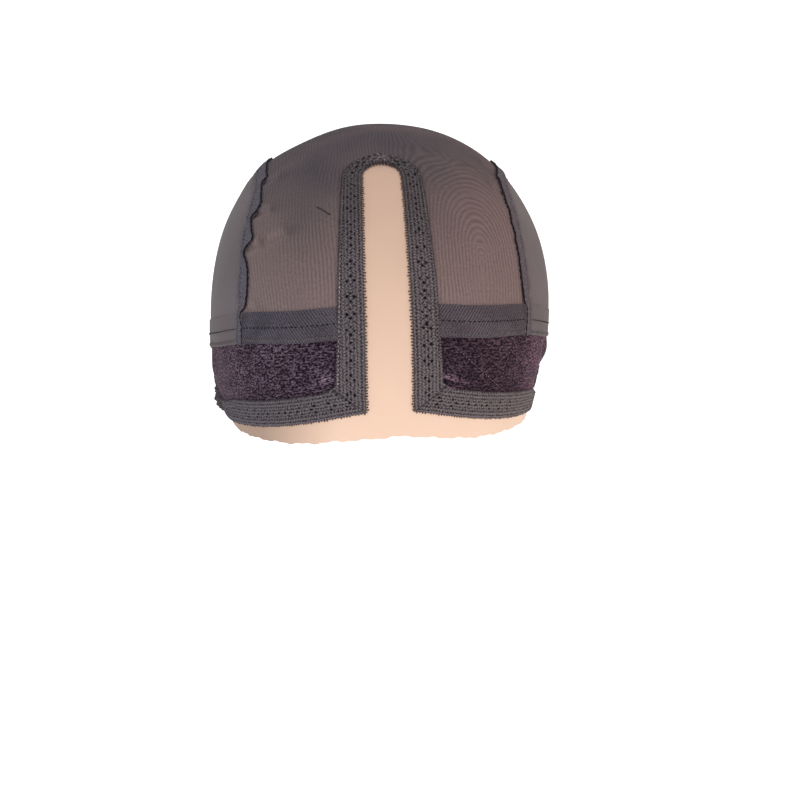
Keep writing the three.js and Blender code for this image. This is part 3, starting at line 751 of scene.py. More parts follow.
class Signal:
    """A socket of a finish. Sums, differences and products with it add the nodes that work them out."""

    def __init__(self, finish, socket):
        self.finish = finish
        self.socket = socket

    def __add__(self, other):
        return self.finish.math("ADD", self, other)

    def __sub__(self, other):
        return self.finish.math("SUBTRACT", self, other)

    def __mul__(self, other):
        return self.finish.math("MULTIPLY", self, other)

    def span(self, low, high, new_low=0.0, new_high=1.0):
        """The value with one range stretched to another and held at its ends."""
        node = self.finish.add("ShaderNodeMapRange", clamp=True)
        values = {"From_Min": low, "From_Max": high, "To_Min": new_low, "To_Max": new_high}
        return self.finish.feed(node, Value=self, **values)

    def mix(self, first, second):
        """The first colour where the value is 0, and the second where it is 1."""
        return self.finish.blend("MIX", self, first, second)

    def times(self, tint):
        """The colour multiplied by a tint or a value."""
        return self.finish.blend("MULTIPLY", 1.0, self, tint)

    def lit(self, right, left):
        """The colour times one tint on the wearer's right and another on the left, as the light falls."""
        return self.times(self.finish.part("X").span(-0.055, 0.055).mix(right + (1.0,), left + (1.0,)))


class Finish:
    """A cloth material under construction, with short ways to add its nodes."""

    def __init__(self, name, **values):
        self.material = bpy.data.materials.new(name)
        self.material.use_nodes = True
        self.nodes = self.material.node_tree.nodes
        self.links = self.material.node_tree.links
        self.shader = self.nodes["Principled BSDF"]
        self.feed(self.shader, **values)
        self.cloth = self.feed(self.add("ShaderNodeAttribute", attribute_name="cloth"), "Vector")
        # `depth` reads the shade attribute: painted shade above 0, painted highlight below 0.
        self.depth = self.feed(self.add("ShaderNodeAttribute", attribute_name="shade"), "Fac")
        self.place = self.feed(self.add("ShaderNodeTexCoord"), "Object")

    def add(self, kind, **settings):
        node = self.nodes.new(kind)
        for key, value in settings.items():
            setattr(node, key, value)
        return node

    def feed(self, node, output=0, **inputs):
        """Sets or links a node's inputs, each named by its socket, with _ for a space, or by i and the
        socket's number. Gives one of the node's outputs."""
        for key, value in inputs.items():
            socket = node.inputs[int(key[1:])] if key[1:].isdigit() else node.inputs[key.replace("_", " ")]
            if isinstance(value, Signal):
                self.links.new(value.socket, socket)
            else:
                socket.default_value = value
        return Signal(self, node.outputs[output])

    def math(self, operation, first, second):
        return self.feed(self.add("ShaderNodeMath", operation=operation), i0=first, i1=second)

    def blend(self, kind, share, first, second):
        node = self.add("ShaderNodeMix", data_type="RGBA", blend_type=kind)
        return self.feed(node, 2, i0=share, i6=first, i7=second)

    def part(self, letter, vector=None):
        """One coordinate of the place on the object, or of another vector."""
        return self.feed(self.add("ShaderNodeSeparateXYZ"), letter, Vector=vector or self.place)

    def laid(self, turn=0.0, stretch=(1.0, 1.0)):
        """The place in the cloth, stretched, or turned by an angle."""
        node = self.add("ShaderNodeMapping")
        return self.feed(node, Vector=self.cloth, Scale=(*stretch, 1.0), Rotation=(0, 0, math.radians(turn)))

    def lines(self, pitch, distortion=0.0, detail_scale=1.0, turn=None, direction="X"):
        """Smooth lines in the cloth from 0 to 1, a pitch apart in millimetres."""
        node = self.add("ShaderNodeTexWave", bands_direction=direction)
        vector = self.cloth if turn is None else self.laid(turn)
        return self.feed(node, "Fac", Vector=vector, Scale=math.pi / 10 / pitch, Distortion=distortion,
                         Detail=1.0, Detail_Scale=detail_scale)

    def noise(self, vector, scale, detail):
        return self.feed(self.add("ShaderNodeTexNoise"), "Fac", Vector=vector, Scale=scale, Detail=detail)

    def clouds(self, scale, detail):
        """Noise over the whole object."""
        return self.noise(self.place, scale, detail)

    def grain(self, scale, detail=2.0, stretch=None):
        """Noise in the cloth."""
        return self.noise(self.laid(stretch=stretch) if stretch else self.cloth, scale, detail)

    def ramp(self, value, stops):
        node = self.add("ShaderNodeValToRGB")
        elements = node.color_ramp.elements
        while len(elements) < len(stops):
            elements.new(0.5)
        for element, (position, colour) in zip(elements, stops):
            element.position = position
            element.color = colour
        return self.feed(node, "Color", Fac=value)

    def done(self, colour, height, bump_mm, strength):
        """The material, in its colour, with a relief of a height in millimetres."""
        node = self.add("ShaderNodeBump")
        normal = self.feed(node, Height=height, Distance=bump_mm * MM, Strength=strength)
        self.feed(self.shader, Base_Color=colour, Normal=normal)
        return self.material


def toned(colour, factor):
    """A colour times a factor."""
    return tuple(part * factor for part in colour)


def rgba(colour, factor=1.0):
    """A colour times a factor, at most 1, and opaque."""
    return tuple(min(1.0, part) for part in toned(colour, factor)) + (1.0,)


def crown_finish(name, top, warm):
    """Sheer knitted mesh: fine wavy wales that come and go. Its colour is warmer low down and darker towards
    the top, where the darkening is painted shade, and lighter on the left as painted light; each crease has
    painted shade above it and a painted highlight below it."""
    finish = Finish(name, Roughness=0.95, Sheen_Weight=0.0, Specular_IOR_Level=0.04)
    # Painted shade: darker towards the top of the crown; the next line paints light on the wearer's left.
    level = finish.part("Z").span(-0.062, -0.006) + finish.clouds(26.0, 3.0).span(0.3, 0.7, -0.14, 0.14)
    level = level + finish.part("X").span(-0.05, 0.05, -0.06, -0.14)
    base = finish.ramp(level, [(0.0, rgba(warm)), (0.55, rgba(warm, 0.78)), (1.0, rgba(top, 0.93))])
    wales = finish.lines(1.32, 3.2, 0.45)
    rows = finish.lines(0.62, 1.0, turn=62)
    grain = finish.grain(1.3, 2.0, (1.0, 0.7))
    strength = finish.grain(0.06).span(0.35, 0.65, 0.25, 1.0)
    weave = (wales - 0.5) * strength * 0.8 + (rows - 0.5) * 0.45 + (grain - 0.5) * 1.3
    colour = base.times(weave.span(-0.6, 0.6, 0.74, 1.28))
    # Painted shade above each crease and a painted highlight below it, from the shade attribute.
    colour = colour.times(finish.depth.span(-1.0, 1.0, 1.25, 0.75))
    return finish.done(colour.lit((0.96, 1.0, 1.04), (1.06, 0.98, 0.98)), weave, 0.16, 0.5)


def plain_mesh_finish(name, base, edge):
    """Fine opaque mesh of the side panels: a tight knit with soft clouds."""
    finish = Finish(name, Roughness=0.9, Sheen_Weight=0.06, Sheen_Roughness=0.5, Specular_IOR_Level=0.06)
    colour = finish.clouds(30.0, 3.0).span(0.3, 0.7).mix(rgba(base), rgba(edge))
    weave = finish.lines(0.55, 0.6, turn=32) * finish.lines(0.55, 0.6, turn=-32)
    colour = colour.times(weave.span(0, 1, 0.88, 1.1)).lit((0.88, 0.89, 0.93), (0.93, 0.86, 0.82))
    return finish.done(colour, weave, 0.1, 0.5)


def tape_finish(name, base, light, beyond):
    """Overlocked seam allowance: specks of dark thread on doubled mesh, with painted shade in the needle's
    holes.
    Its outer edge takes the tone of the panel beyond."""
    finish = Finish(name, Roughness=0.9, Sheen_Weight=0.0, Specular_IOR_Level=0.06)
    weave = finish.grain(1.6, 3.0).span(0.35, 0.65) + finish.lines(0.9, 1.5, 0.8, turn=55) * 0.5
    colour = weave.span(0.2, 1.3).mix(rgba(base, 0.7), rgba(light))
    colour = finish.part("Y", finish.cloth).span(4.2, 6.6).mix(colour, rgba(beyond, 1.05))
    colour = colour.lit((0.96, 0.98, 1.02), (1.08, 0.98, 0.92))
    return finish.done(finish.depth.mix(colour, rgba(base, 0.12)), weave, 0.2, 0.7)


def band_finish(name, base, light):
    """Doubled mesh: fine diagonal threads that drift in and out of step, as two layers do."""
    finish = Finish(name, Roughness=0.9, Sheen_Weight=0.0, Specular_IOR_Level=0.06)
    one = finish.lines(0.88, 2.2, 0.35, turn=40)
    two = finish.lines(0.88, 2.2, 0.35, turn=-36)
    patches = finish.grain(0.14, 1.0, (0.5, 0.6)).span(0.42, 0.62)
    weave = patches.mix(one, one * two) * 0.7 + finish.grain(1.4).span(0.35, 0.65, -0.2, 0.3)
    colour = weave.span(0.0, 0.9).mix(rgba(base, 0.55), rgba(light))
    colour = colour.times(finish.clouds(60.0, 2.0).span(0.3, 0.7, 0.85, 1.12))
    return finish.done(colour.lit((0.88, 0.93, 1.0), (1.22, 1.07, 1.03)), weave, 0.2, 0.6)


def velvet_finish(name, deep, light):
    """Cut pile: dark, with short streaks of painted sheen that lie along the cloth, broken by a fine grain.
    The painted sheen is lighter towards both ends and lighter and warmer on its left end, as the light falls;
    crease ridges get a painted highlight and crease grooves painted shade."""
    finish = Finish(name, Roughness=1.0, Sheen_Weight=0.14, Sheen_Roughness=0.4,
                    Sheen_Tint=(0.56, 0.38, 0.46, 1.0), Specular_IOR_Level=0.03)
    streaks = finish.grain(1.1, 1.0, (0.42, 1.5))
    grain = finish.grain(1.35, 0.0, (0.9, 1.7))
    wisps = finish.grain(0.3, 2.0, (0.5, 1.0))
    clouds = finish.grain(0.09, 2.0, (0.6, 1.0))
    nap = streaks.span(0.45, 0.62) + grain.span(0.45, 0.64, 0.0, 1.3)
    nap = nap * clouds.span(0.3, 0.68, 0.6, 1.0) * wisps.span(0.3, 0.7, 0.65, 1.1)
    # Painted sheen: lighter towards both ends, and lighter and warmer on the wearer's left.
    painted_sheen_tints = {
        0.0: (1.25, 1.45, 1.45),
        0.4: (1.0, 1.15, 1.2),
        0.7: (0.68, 0.68, 0.64),
        0.84: (0.9, 0.85, 0.8),
        0.96: (2.0, 1.75, 1.7),
    }
    stops = [(at, tuple(np.multiply(light, tint).tolist()) + (1.0,)) for at, tint in painted_sheen_tints.items()]
    sheen = finish.ramp(finish.part("X").span(-0.07, 0.07), stops)
    # Painted highlight on crease ridges and painted shade in crease grooves.
    ridge_highlight = finish.depth.span(-0.9, -0.1, 3.2, 1.0)
    grooves = finish.depth.span(0.1, 0.9, 1.0, 0.3)
    colour = nap.span(0.15, 1.6).mix(rgba(deep), sheen).times(ridge_highlight * grooves)
    return finish.done(colour, streaks + grain, 0.25, 0.8)


def lace_finish(name, base, shadow):
    """Nude net: fine slanting rows of holes, with painted shade towards the top of the parting and on the
    wearer's right side.
    """
    finish = Finish(name, Roughness=0.85, Sheen_Weight=0.0, Specular_IOR_Level=0.1)
    weave = finish.lines(1.05, 0.8, 0.3, turn=35) * 0.7 + finish.lines(0.9, 0.8, 0.3, turn=-42) * 0.3
    weave = weave * finish.grain(0.05, 1.0).span(0.35, 0.65, 0.35, 1.0)
    # Painted shade: darker towards the top of the parting and, on the next line, on the wearer's right side.
    tone = finish.part("Z").span(-0.095, -0.012).mix(rgba(base), rgba(shadow))
    tone = tone.times((finish.part("X") * -1.0).span(0.02, 0.05, 1.0, 0.5))
    return finish.done(tone.times(weave.span(0.0, 1.0, 1.02, 0.96)), weave, 0.05, 0.3)


def elastic_finish(name, dark, light, hole):
    """Knitted elastic: chains of slanting loops along it, dark between them. The holes are painted dark as
    shade, the elastic is painted lighter low down as the light falls, and painted darker as shade where it
    bends round the top of the parting, with a painted highlight on the fold that stands up there."""
    finish = Finish(name, Roughness=0.9, Sheen_Weight=0.03, Sheen_Roughness=0.5, Specular_IOR_Level=0.07)
    chains = finish.lines(1.3, 0.5, 0.8, direction="Y")
    one = finish.lines(0.95, 0.5, 0.8, turn=32)
    two = finish.lines(0.95, 0.5, 0.8, turn=-32)
    loops = finish.lines(2.6, direction="Y").span(0.42, 0.58).mix(one, two)
    weave = chains * 0.42 + loops * 0.42 + finish.grain(1.5, 1.0).span(0.35, 0.68, -0.22, 0.36)
    level = finish.part("Z")
    # Painted light low down, strongest on the wearer's left, and painted shade round the top of the parting.
    low = level.span(-0.095, -0.05, 1.0, 0.0) * finish.part("X").span(-0.03, 0.03, 0.02, 0.24) + 0.96
    high = level.span(-0.026, -0.012, 1.0, 0.72)
    colour = weave.span(0.0, 1.05).mix(rgba(dark), rgba(light, 1.1)).times(low * high)
    colour = colour.lit((0.92, 0.96, 1.02), (1.06, 0.99, 0.93))
    # Painted highlight on the fold at the top of the arc, and painted shade in the holes and slots.
    colour = colour.times(finish.depth.span(-0.5, 0.0, 1.9, 1.0))
    return finish.done(finish.depth.span(0.25, 0.6).mix(colour, rgba(hole)), weave, 0.25, 0.8)


def thread_finish(name, base, pitch=0.7):
    """Spun thread: a fine twist along its length."""
    finish = Finish(name, Roughness=0.9, Sheen_Weight=0.0, Specular_IOR_Level=0.08)
    twist = finish.lines(pitch, 0.3, turn=40)
    return finish.done(twist.mix(rgba(base, 0.7), rgba(base, 1.25)), twist, 0.05, 0.5)


def casing_finish(name, dark, light):
    """Gathered casing: ribbed elastic cloth, with painted shade in its folds."""
    finish = Finish(name, Roughness=0.9, Sheen_Weight=0.05, Sheen_Roughness=0.5, Specular_IOR_Level=0.06)
    weave = finish.lines(1.05, 0.6, 0.6, direction="Y") * 0.6 + finish.lines(0.8, 1.0, 0.7) * 0.4
    colour = weave.span(0.1, 0.9).mix(rgba(dark), rgba(light))
    return finish.done(colour.times(finish.depth.span(0.0, 1.0, 1.0, 0.35)), weave, 0.2, 0.6)


# Sizes and colours that a user may change


def length(title, text, default_mm):
    return FloatProperty(name=title, description=text, default=default_mm * MM, unit="LENGTH", precision=5)


def shade_of(title, text, default):
    return FloatVectorProperty(
        name=title, description=text, default=default, subtype="COLOR", min=0.0, max=1.0
    )


class CapSizes(bpy.types.PropertyGroup):
    grid: length("Grid", "Size of a cell of the cloth meshes", 1.0)
    fine_grid: length("Fine grid", "Size of a cell of the elastic", 0.36)
    hole_spacing: length("Hole spacing", "Length of one group of holes in the elastic", 5.8)
    hole_reach: length("Hole reach", "How far the outer holes of a group lie from its middle", 1.3)
    hole_size: length("Hole size", "Radius of a hole in the elastic", 0.42)
    hole_depth: length("Hole depth", "Depth of a hole in the elastic", 0.8)
    picot_pitch: length("Picot pitch", "Length of one loop of the elastic's fringe", 2.2)
    picot_reach: length("Picot reach", "How far the fringe reaches over the lace", 1.15)
    picot_thread: length("Picot thread", "Radius of the fringe's thread", 0.14)
    stitch_pitch: length("Stitch pitch", "Distance between running stitches", 2.0)
    stitch_thread: length("Stitch thread", "Radius of the sewing thread", 0.2)
    seam_thread: length("Seam thread", "Radius of the dark thread along the side seams", 0.34)


class CapColours(bpy.types.PropertyGroup):
    # The crown's top colour is darker than its low one as painted shade.
    crown_top: shade_of("Crown, top", "Mesh on the top", (0.058, 0.049, 0.055))
    crown_low: shade_of("Crown, low", "Mesh above the band", (0.145, 0.106, 0.102))
    side: shade_of("Side panels", "Mesh over the ears", (0.098, 0.082, 0.086))
    band: shade_of("Band", "Doubled mesh above the velvet", (0.054, 0.047, 0.056))
    seam: shade_of("Seam allowance", "Doubled mesh beside the side seams", (0.066, 0.058, 0.068))
    velvet_deep: shade_of("Velvet, deep", "Velvet between the streaks", (0.008, 0.004, 0.008))
    # The velvet's sheen colour is painted sheen.
    velvet_sheen: shade_of("Velvet, sheen", "Velvet where the pile lies over", (0.090, 0.056, 0.074))
    quilting: shade_of("Quilting", "Thread of the velvet's quilting", (0.150, 0.095, 0.115))
    lace: shade_of("Lace", "Net of the parting and the forehead", (0.60, 0.430, 0.335))
    lace_shadow: shade_of("Lace, far", "Net at the top of the parting", (0.44, 0.305, 0.236))
    elastic: shade_of("Elastic", "Loops of the knitted elastic", (0.135, 0.115, 0.123))
    elastic_deep: shade_of("Elastic, deep", "Between the elastic's loops", (0.018, 0.015, 0.018))
    elastic_thread: shade_of("Elastic thread", "Thread of the elastic and the band", (0.110, 0.096, 0.102))
    fringe: shade_of("Fringe", "Loops of the elastic's edge", (0.060, 0.046, 0.048))
    light_thread: shade_of("Light thread", "Thread beside the right riser", (0.300, 0.270, 0.280))
    dark_thread: shade_of("Dark thread", "Running stitch and seam thread", (0.008, 0.007, 0.010))
    casing: shade_of("Casing", "Gathered casing at the nape", (0.062, 0.052, 0.060))


def sizes():
    return bpy.context.scene.cap_sizes


def colours():
    return bpy.context.scene.cap_colours


def in_mm(value):
    return value / MM


# Pieces

SIDES = ((1, "left"), (-1, "right"))


def front_edges(side):
    """Edges of the crown's front part beside the parting, from the band up to the arc's level."""
    spacing = in_mm(sizes().grid)
    line = under_elastic(SEAM_GAP / 2)["parting"]
    if side > 0:
        line = mirrored(line)
    arc_row = int(np.argmax(angle_over(line) > ARC_CENTRE))
    _, rising = cut_at(line[:arc_row + 1], above_band_seam_at)
    start, _ = seam_ends(side)
    angles = np.linspace(start, ARC_CENTRE, 400)
    seam = seam_point(side, angles, ALLOWANCE / 2 - SEAM_GAP / 2)
    rows = int(Track(seam).length / spacing)
    columns = int(np.linalg.norm(seam[-1] - rising[-1]) / spacing)
    rising = evenly(rising, rows)
    seam = evenly(seam, rows)
    foot = azimuth_of(seam[0])
    seam[0] = aim(foot, above_band_seam_at(foot), side)
    azimuths = np.linspace(foot, azimuth_of(rising[0]), columns + 1)
    bottom = aim(azimuths, above_band_seam_at(azimuths), side)
    bottom[0], bottom[-1] = seam[0], rising[0]
    return bottom, straight(seam[-1], rising[-1], columns), seam, rising


def crown_cloth(points):
    """Place in the crown's cloth: wales at steady distances from the middle. To the left of the parting they
    are drawn into arches, which fade out over the back, and courses follow the angle over the top."""
    x, angle = points[..., 0], angle_over(points)
    arches = 35.0 - np.hypot(x - 35.0, 0.6 * np.clip(angle - 33.0, 0, 36))
    sway = 1.3 * np.sin(np.radians(angle) * 5.2 + 0.6) * ease((-x - 12) / 14)
    sway = sway + 0.5 * np.sin(x / 6.0 + np.radians(angle) * 9)
    arched = ease((x - 2) / 24) * (1 - ease((angle - 66) / 36))
    back = 1 - ease((angle - 95) / 30)
    return stacked(x + (arches - x) * arched - sway * back, np.radians(angle) * CLOTH_ROUND, 0.0)


def crease_light_and_shade(points):
    """Painted light and shade of the creases: painted shade above each one, and a painted highlight below it.
    """
    total = np.zeros(points.shape[:-1])
    for x0, over0, x1, over1, _, height in zip(*CREASES.values()):
        away, share = line_distance(points, (over(x0, over0), over(x1, over1)))
        middle = over((x0 + x1) / 2, (over0 + over1) / 2)
        below = np.sign(middle[2] + 0.35 * (points[..., 1] - middle[1]) - points[..., 2])
        fade = (1 - ease(share * 0.8)) * max(-height, 0)
        total += fade * np.where(below > 0, -0.75 * bump((away - 1.5) / 2.0), 1.1 * bump((away - 0.4) / 2.6))
    return np.clip(total, -1, 1)


def crown_rise(points):
    """Height of the crown: its wall, creases, the pull of the casing and a soft unevenness."""
    soft = 0.22 * ripple(points, 46.0, 3)
    return PANEL_WALL + crease_height(points) + pull_of_gathers(points) + soft


def crown_patches():
    """Two parts beside the parting, and one from the arc's level back to the nape that shares their edges."""
    left = patch(*front_edges(-1))
    right = patch(*front_edges(1))[:, ::-1]
    opening = under_elastic(SEAM_GAP / 2)["parting"]
    arc = opening[angle_over(opening) > ARC_CENTRE]
    arc = evenly(np.concatenate([left[-1][-1:], arc, right[-1][:1]]), 26)
    front = np.concatenate([left[-1][:-1], arc, right[-1][1:]])
    edges = []
    rows = int(BACK_LENGTH / (1.15 * in_mm(sizes().grid)))
    for side in (-1, 1):
        _, finish = seam_ends(side)
        angles = np.linspace(ARC_CENTRE, finish, rows + 1)
        edges.append(seam_point(side, angles, ALLOWANCE / 2 - SEAM_GAP / 2))
    edges[0][0], edges[1][0] = front[0], front[-1]
    share = np.linspace(0, 1, len(front))
    turn = np.interp(share, [0, 0.5, 1], [azimuth_of(edges[0][-1]), 180, 360 - azimuth_of(edges[1][-1])])
    back = mirrored(all_round(tucked_top_at, turn))
    back[0], back[-1] = edges[0][-1], edges[1][-1]
    return [left, right, patch(front, back, edges[0], edges[1])]


def make_crown():
    """Crown mesh, and the short thread that lies on it."""
    rows = [(p, crown_rise(p), crown_cloth(p), crease_light_and_shade(p)) for p in crown_patches()]
    piece = sheet_piece(
        "crown_mesh", rows, PANEL_WALL, replaces=["crown_panel"], slot_name="crown_mesh",
        material=crown_finish("Crown mesh", colours().crown_top, colours().crown_low),
    )
    thread = over(np.array([-24.3, -22.6, -20.8, -19.4]), np.array([46.8, 45.8, 44.6, 43.7]))
    thread_piece(
        "stray_thread", lifted(Track(thread).evenly(24), PANEL_WALL + 0.25), 0.14, slot_name="seam_tape",
        material=thread_finish("Stray thread", colours().dark_thread),
    )


def side_patch(side):
    """Side panel between the seam and its lower edge, which follows the band and then the casing."""
    spacing = 1.2 * in_mm(sizes().grid)
    start, finish = seam_ends(side)
    angles = np.linspace(start, finish, 900)
    seam = seam_point(side, angles, ALLOWANCE / 2 + SEAM_GAP / 2)
    first, last = azimuth_of(seam[0]), azimuth_of(seam[-1])
    past = VELVET_END + math.degrees(SEAM_GAP / HALF_WIDTH)
    front = np.linspace(first, past, 300)
    back = np.linspace(past, last, 300)
    lower = np.concatenate([
        aim(front, above_band_seam_at(front), side), aim(back, tucked_top_at(back), side)
    ])
    columns = int(Track(seam).length / spacing)
    front_share = np.searchsorted(azimuth_of(seam), past) / len(seam)
    over_velvet = int(round(columns * min(max(front_share, 0.3), 0.42)))
    bottom = np.concatenate([
        evenly(lower[:300], over_velvet), evenly(lower[300:], columns - over_velvet - 1)
    ])
    top = evenly(seam, columns)
    bottom[0] = top[0] = aim(first, above_band_seam_at(first), side)
    bottom[-1] = top[-1]
    rows = int(SIDE_DEPTH / spacing)
    point = np.ones((rows + 1, 1))
    return patch(bottom, top, point * top[0], point * top[-1])


def side_cloth(points):
    """Place in the side panel's cloth: along by the azimuth, and up by the height."""
    return stacked(azimuth_of(points) * 1.4, points[..., 2], 0.0)


def make_sides():
    """Side panels: plain mesh with a soft unevenness, drawn into folds above the casing."""
    material = plain_mesh_finish("Side mesh", colours().side, toned(colours().side, 1.25))
    for side, word in SIDES:
        points = side_patch(side)
        rise = PANEL_WALL + pull_of_gathers(points) + 0.18 * ripple(points, 50.0, 7 + side)
        piece = sheet_piece(
            f"side_mesh_{word}", [(points, rise, side_cloth(points), 0.0)], PANEL_WALL,
            replaces=[f"side_panel_{word}"], slot_name="side_mesh", material=material,
        )


def velvet_patch(side):
    """Velvet from the riser back to its end, between the elastic's foot or the casing and the band."""
    spacing = 0.72 * in_mm(sizes().grid)
    lines = under_elastic(SEAM_GAP / 2)
    below, _ = cut_at(lines["parting"][:int(RISER_LENGTH)], below_band_seam_at)
    rows = int(Track(below).length / spacing)
    riser = evenly(below, rows)
    foot = lines["right_foot"][::-1]
    azimuths = np.linspace(ELASTIC_END, VELVET_END, 200)
    behind = aim(azimuths, tucked_top_at(azimuths), -1.0)
    foot_columns = int(Track(foot).length / spacing)
    bottom = np.concatenate([
        evenly(foot, foot_columns), evenly(behind, int(Track(behind).length / spacing))
    ])
    share = np.linspace(0, 1, len(bottom))
    turn = azimuth_of(riser[-1]) + (VELVET_END - azimuth_of(riser[-1])) * share
    top = aim(turn, below_band_seam_at(turn), -1.0)
    top[0], bottom[0] = riser[-1], riser[0]
    end = straight(bottom[-1], top[-1], rows)
    points = patch(bottom, top, riser, end)
    return mirrored(points) if side > 0 else points


def velvet_cloth(points):
    """Place in the velvet's cloth: along it by the azimuth, and across it by the share of the way from its
    lower to its upper edge, so that the nap runs with the edges."""
    turn = np.radians(azimuth_of(points)) * CLOTH_ROUND
    up = np.linspace(0, 22, points.shape[0])[:, None]
    return stacked(turn, up, 0.0)


def velvet_rise(points, side):
    """Height of the velvet: soft waves, creases, and grooves under the quilting."""
    free = ease((band_bottom_at(azimuth_of(points)) - elevation_of(points)) / 4)
    uneven = 0.3 * ripple(points, 24.0, 21 + side) + 0.12 * ripple(points, 5.0, 31, 3)
    quilted = quilting_depth(points) if side > 0 else 0.0
    return PANEL_WALL + crease_height(points) + free * uneven - 0.5 * quilted + pull_of_gathers(points)


def make_velvet():
    """Velvet panels, and the two lines of quilting on the left one."""
    material = velvet_finish("Velvet", colours().velvet_deep, colours().velvet_sheen)
    for side, word in SIDES:
        points = velvet_patch(side)
        # Painted light and shade of the creases: painted highlight on the ridges, painted shade in the
        # grooves.
        tone = -np.clip(crease_height(points), -1, 1)
        piece = sheet_piece(
            f"velvet_grip_{word}", [(points, velvet_rise(points, side), velvet_cloth(points), tone)],
            PANEL_WALL, replaces=[f"velvet_{word}"], slot_name="velvet", material=material,
        )
    pairs = []
    for x0, over0, x1, over1 in zip(*QUILTING.values()):
        track = Track(straight(over(x0, over0), over(x1, over1), 60))
        ends = [track.at(places) for places in dashes(track.length, 1.55, 0.55, 3)]
        pairs.append([lifted(at, velvet_rise(at, 1) + 0.1) for at in ends])
    stitches_piece(
        "quilting_stitches", pairs, 0.15, 0.15, slot_name="velvet",
        material=thread_finish("Quilting thread", colours().quilting),
    )


def lace_patches():
    """Lace of the forehead between its cut edge and the elastic, and of the parting above it."""
    spacing = 0.8 * in_mm(sizes().grid)
    lines = under_elastic(-SEAM_GAP / 2)
    foot = lines["right_foot"]
    foot = evenly(foot[azimuth_of(foot) < LACE_END], 110)
    riser_line = lines["parting"]
    half = riser_line[:len(riser_line) // 2 + 1]
    arc_row = int(np.argmax(angle_over(half) > ARC_CENTRE))
    riser = evenly(half[:arc_row + 1], int(RISER_LENGTH / spacing))
    arc = riser_line[arc_row:len(riser_line) - arc_row]
    mouth = straight(riser[0], mirrored(riser[0]), 22)
    arc = evenly(np.concatenate([arc, mirrored(arc[:1])]), 22)
    riser[-1] = arc[0]
    top = np.concatenate([foot[:-1], mouth, mirrored(foot[:-1][::-1])])
    azimuths = azimuth_of(top)
    side = np.where(top[:, 0] < 0, -1.0, 1.0)
    wave = 0.35 * np.sin(azimuths * 0.9 * side) + 0.25 * np.sin(azimuths * 2.1 * side + 1)
    wave = wave + 0.8 * bump((azimuths * side - 4) / 3)
    bottom = aim(azimuths, table_value(LACE_EDGE, "elevation", azimuths) + wave * 0.5, side)
    rows = int(LACE_DEPTH / spacing)
    forehead = patch(bottom, top, straight(bottom[0], top[0], rows), straight(bottom[-1], top[-1], rows))
    parting = patch(mouth, arc, riser, mirrored(riser))
    return [forehead, parting]


def lace_cloth(points):
    """Place in the lace: the azimuth and the elevation, as distances on the forehead."""
    turn = np.radians(azimuth_of(points)) * np.sign(points[..., 0]) * TO_FOREHEAD
    rise = np.radians(elevation_of(points))
    return stacked(turn * np.cos(rise), rise * TO_FOREHEAD, 0.0)


def make_lace():
    """Lace of the forehead and the parting, as one piece."""
    rows = [(p, PANEL_WALL + 0.16 * ripple(p, 30.0, 41), lace_cloth(p), 0.0) for p in lace_patches()]
    piece = sheet_piece(
        "lace_net", rows, PANEL_WALL, replaces=["lace_front"], slot_name="lace",
        material=lace_finish("Lace net", colours().lace, colours().lace_shadow),
    )


def knit(along, across, width, slots):
    """Relief of the elastic: groups of holes down its middle, of which the last two are half closed, slots
    beside both edges, chain ribs and looped edges. Gives the height and how deep each point lies."""
    size = sizes()
    spacing, reach = in_mm(size.hole_spacing), in_mm(size.hole_reach)
    radius = in_mm(size.hole_size)
    middle = width / 2
    deep = np.zeros(along.shape)
    for place, offset in HOLES:
        uneven = 1 + 0.3 * np.sin(np.floor(along / spacing) * 5.3 + place * 21 + offset * 3)
        slip = 0.22 * np.sin(np.floor(along / spacing) * 3.1 + place * 17 + offset * 7)
        away = (along / spacing - place + 0.5) % 1 - 0.5
        hole = np.hypot(away * spacing - slip, (across - middle - offset * reach) * 1.15) / (radius * uneven)
        strength = 1.0 if place < 0.6 else 0.45
        deep = np.maximum(deep, strength * ease((1.5 - hole) / 0.9))
    for inset in slots:
        pitch = spacing / 4
        for edge in (inset, width - inset):
            away = ((along / pitch + inset) % 1 - 0.5) * pitch
            slot = np.hypot(away / 0.36, (across - edge) / 0.28)
            deep = np.maximum(deep, 0.6 * ease((1.5 - slot) / 0.9))
    from_edge = np.minimum(across, width - across)
    rolled = 0.45 * bump(from_edge / 0.5)
    loops = 0.3 * bump((from_edge - 0.45) / 0.35) * np.abs(np.sin(np.pi * along / 1.05))
    ribs = 0.12 * np.cos(2 * np.pi * across / 1.3) * (1 + 0.4 * np.cos(2 * np.pi * along / 1.1))
    height = TRIM_BASE + TRIM_WALL - in_mm(size.hole_depth) * deep - rolled + loops + ribs
    return height, np.clip(deep, 0, 1)


def arc_trim(track, distance):
    """How far the elastic's inner edge is drawn back at the top of the parting."""
    return ARC_TRIM * bump((distance - track.length / 2) / 8.0) * (track is PARTING)


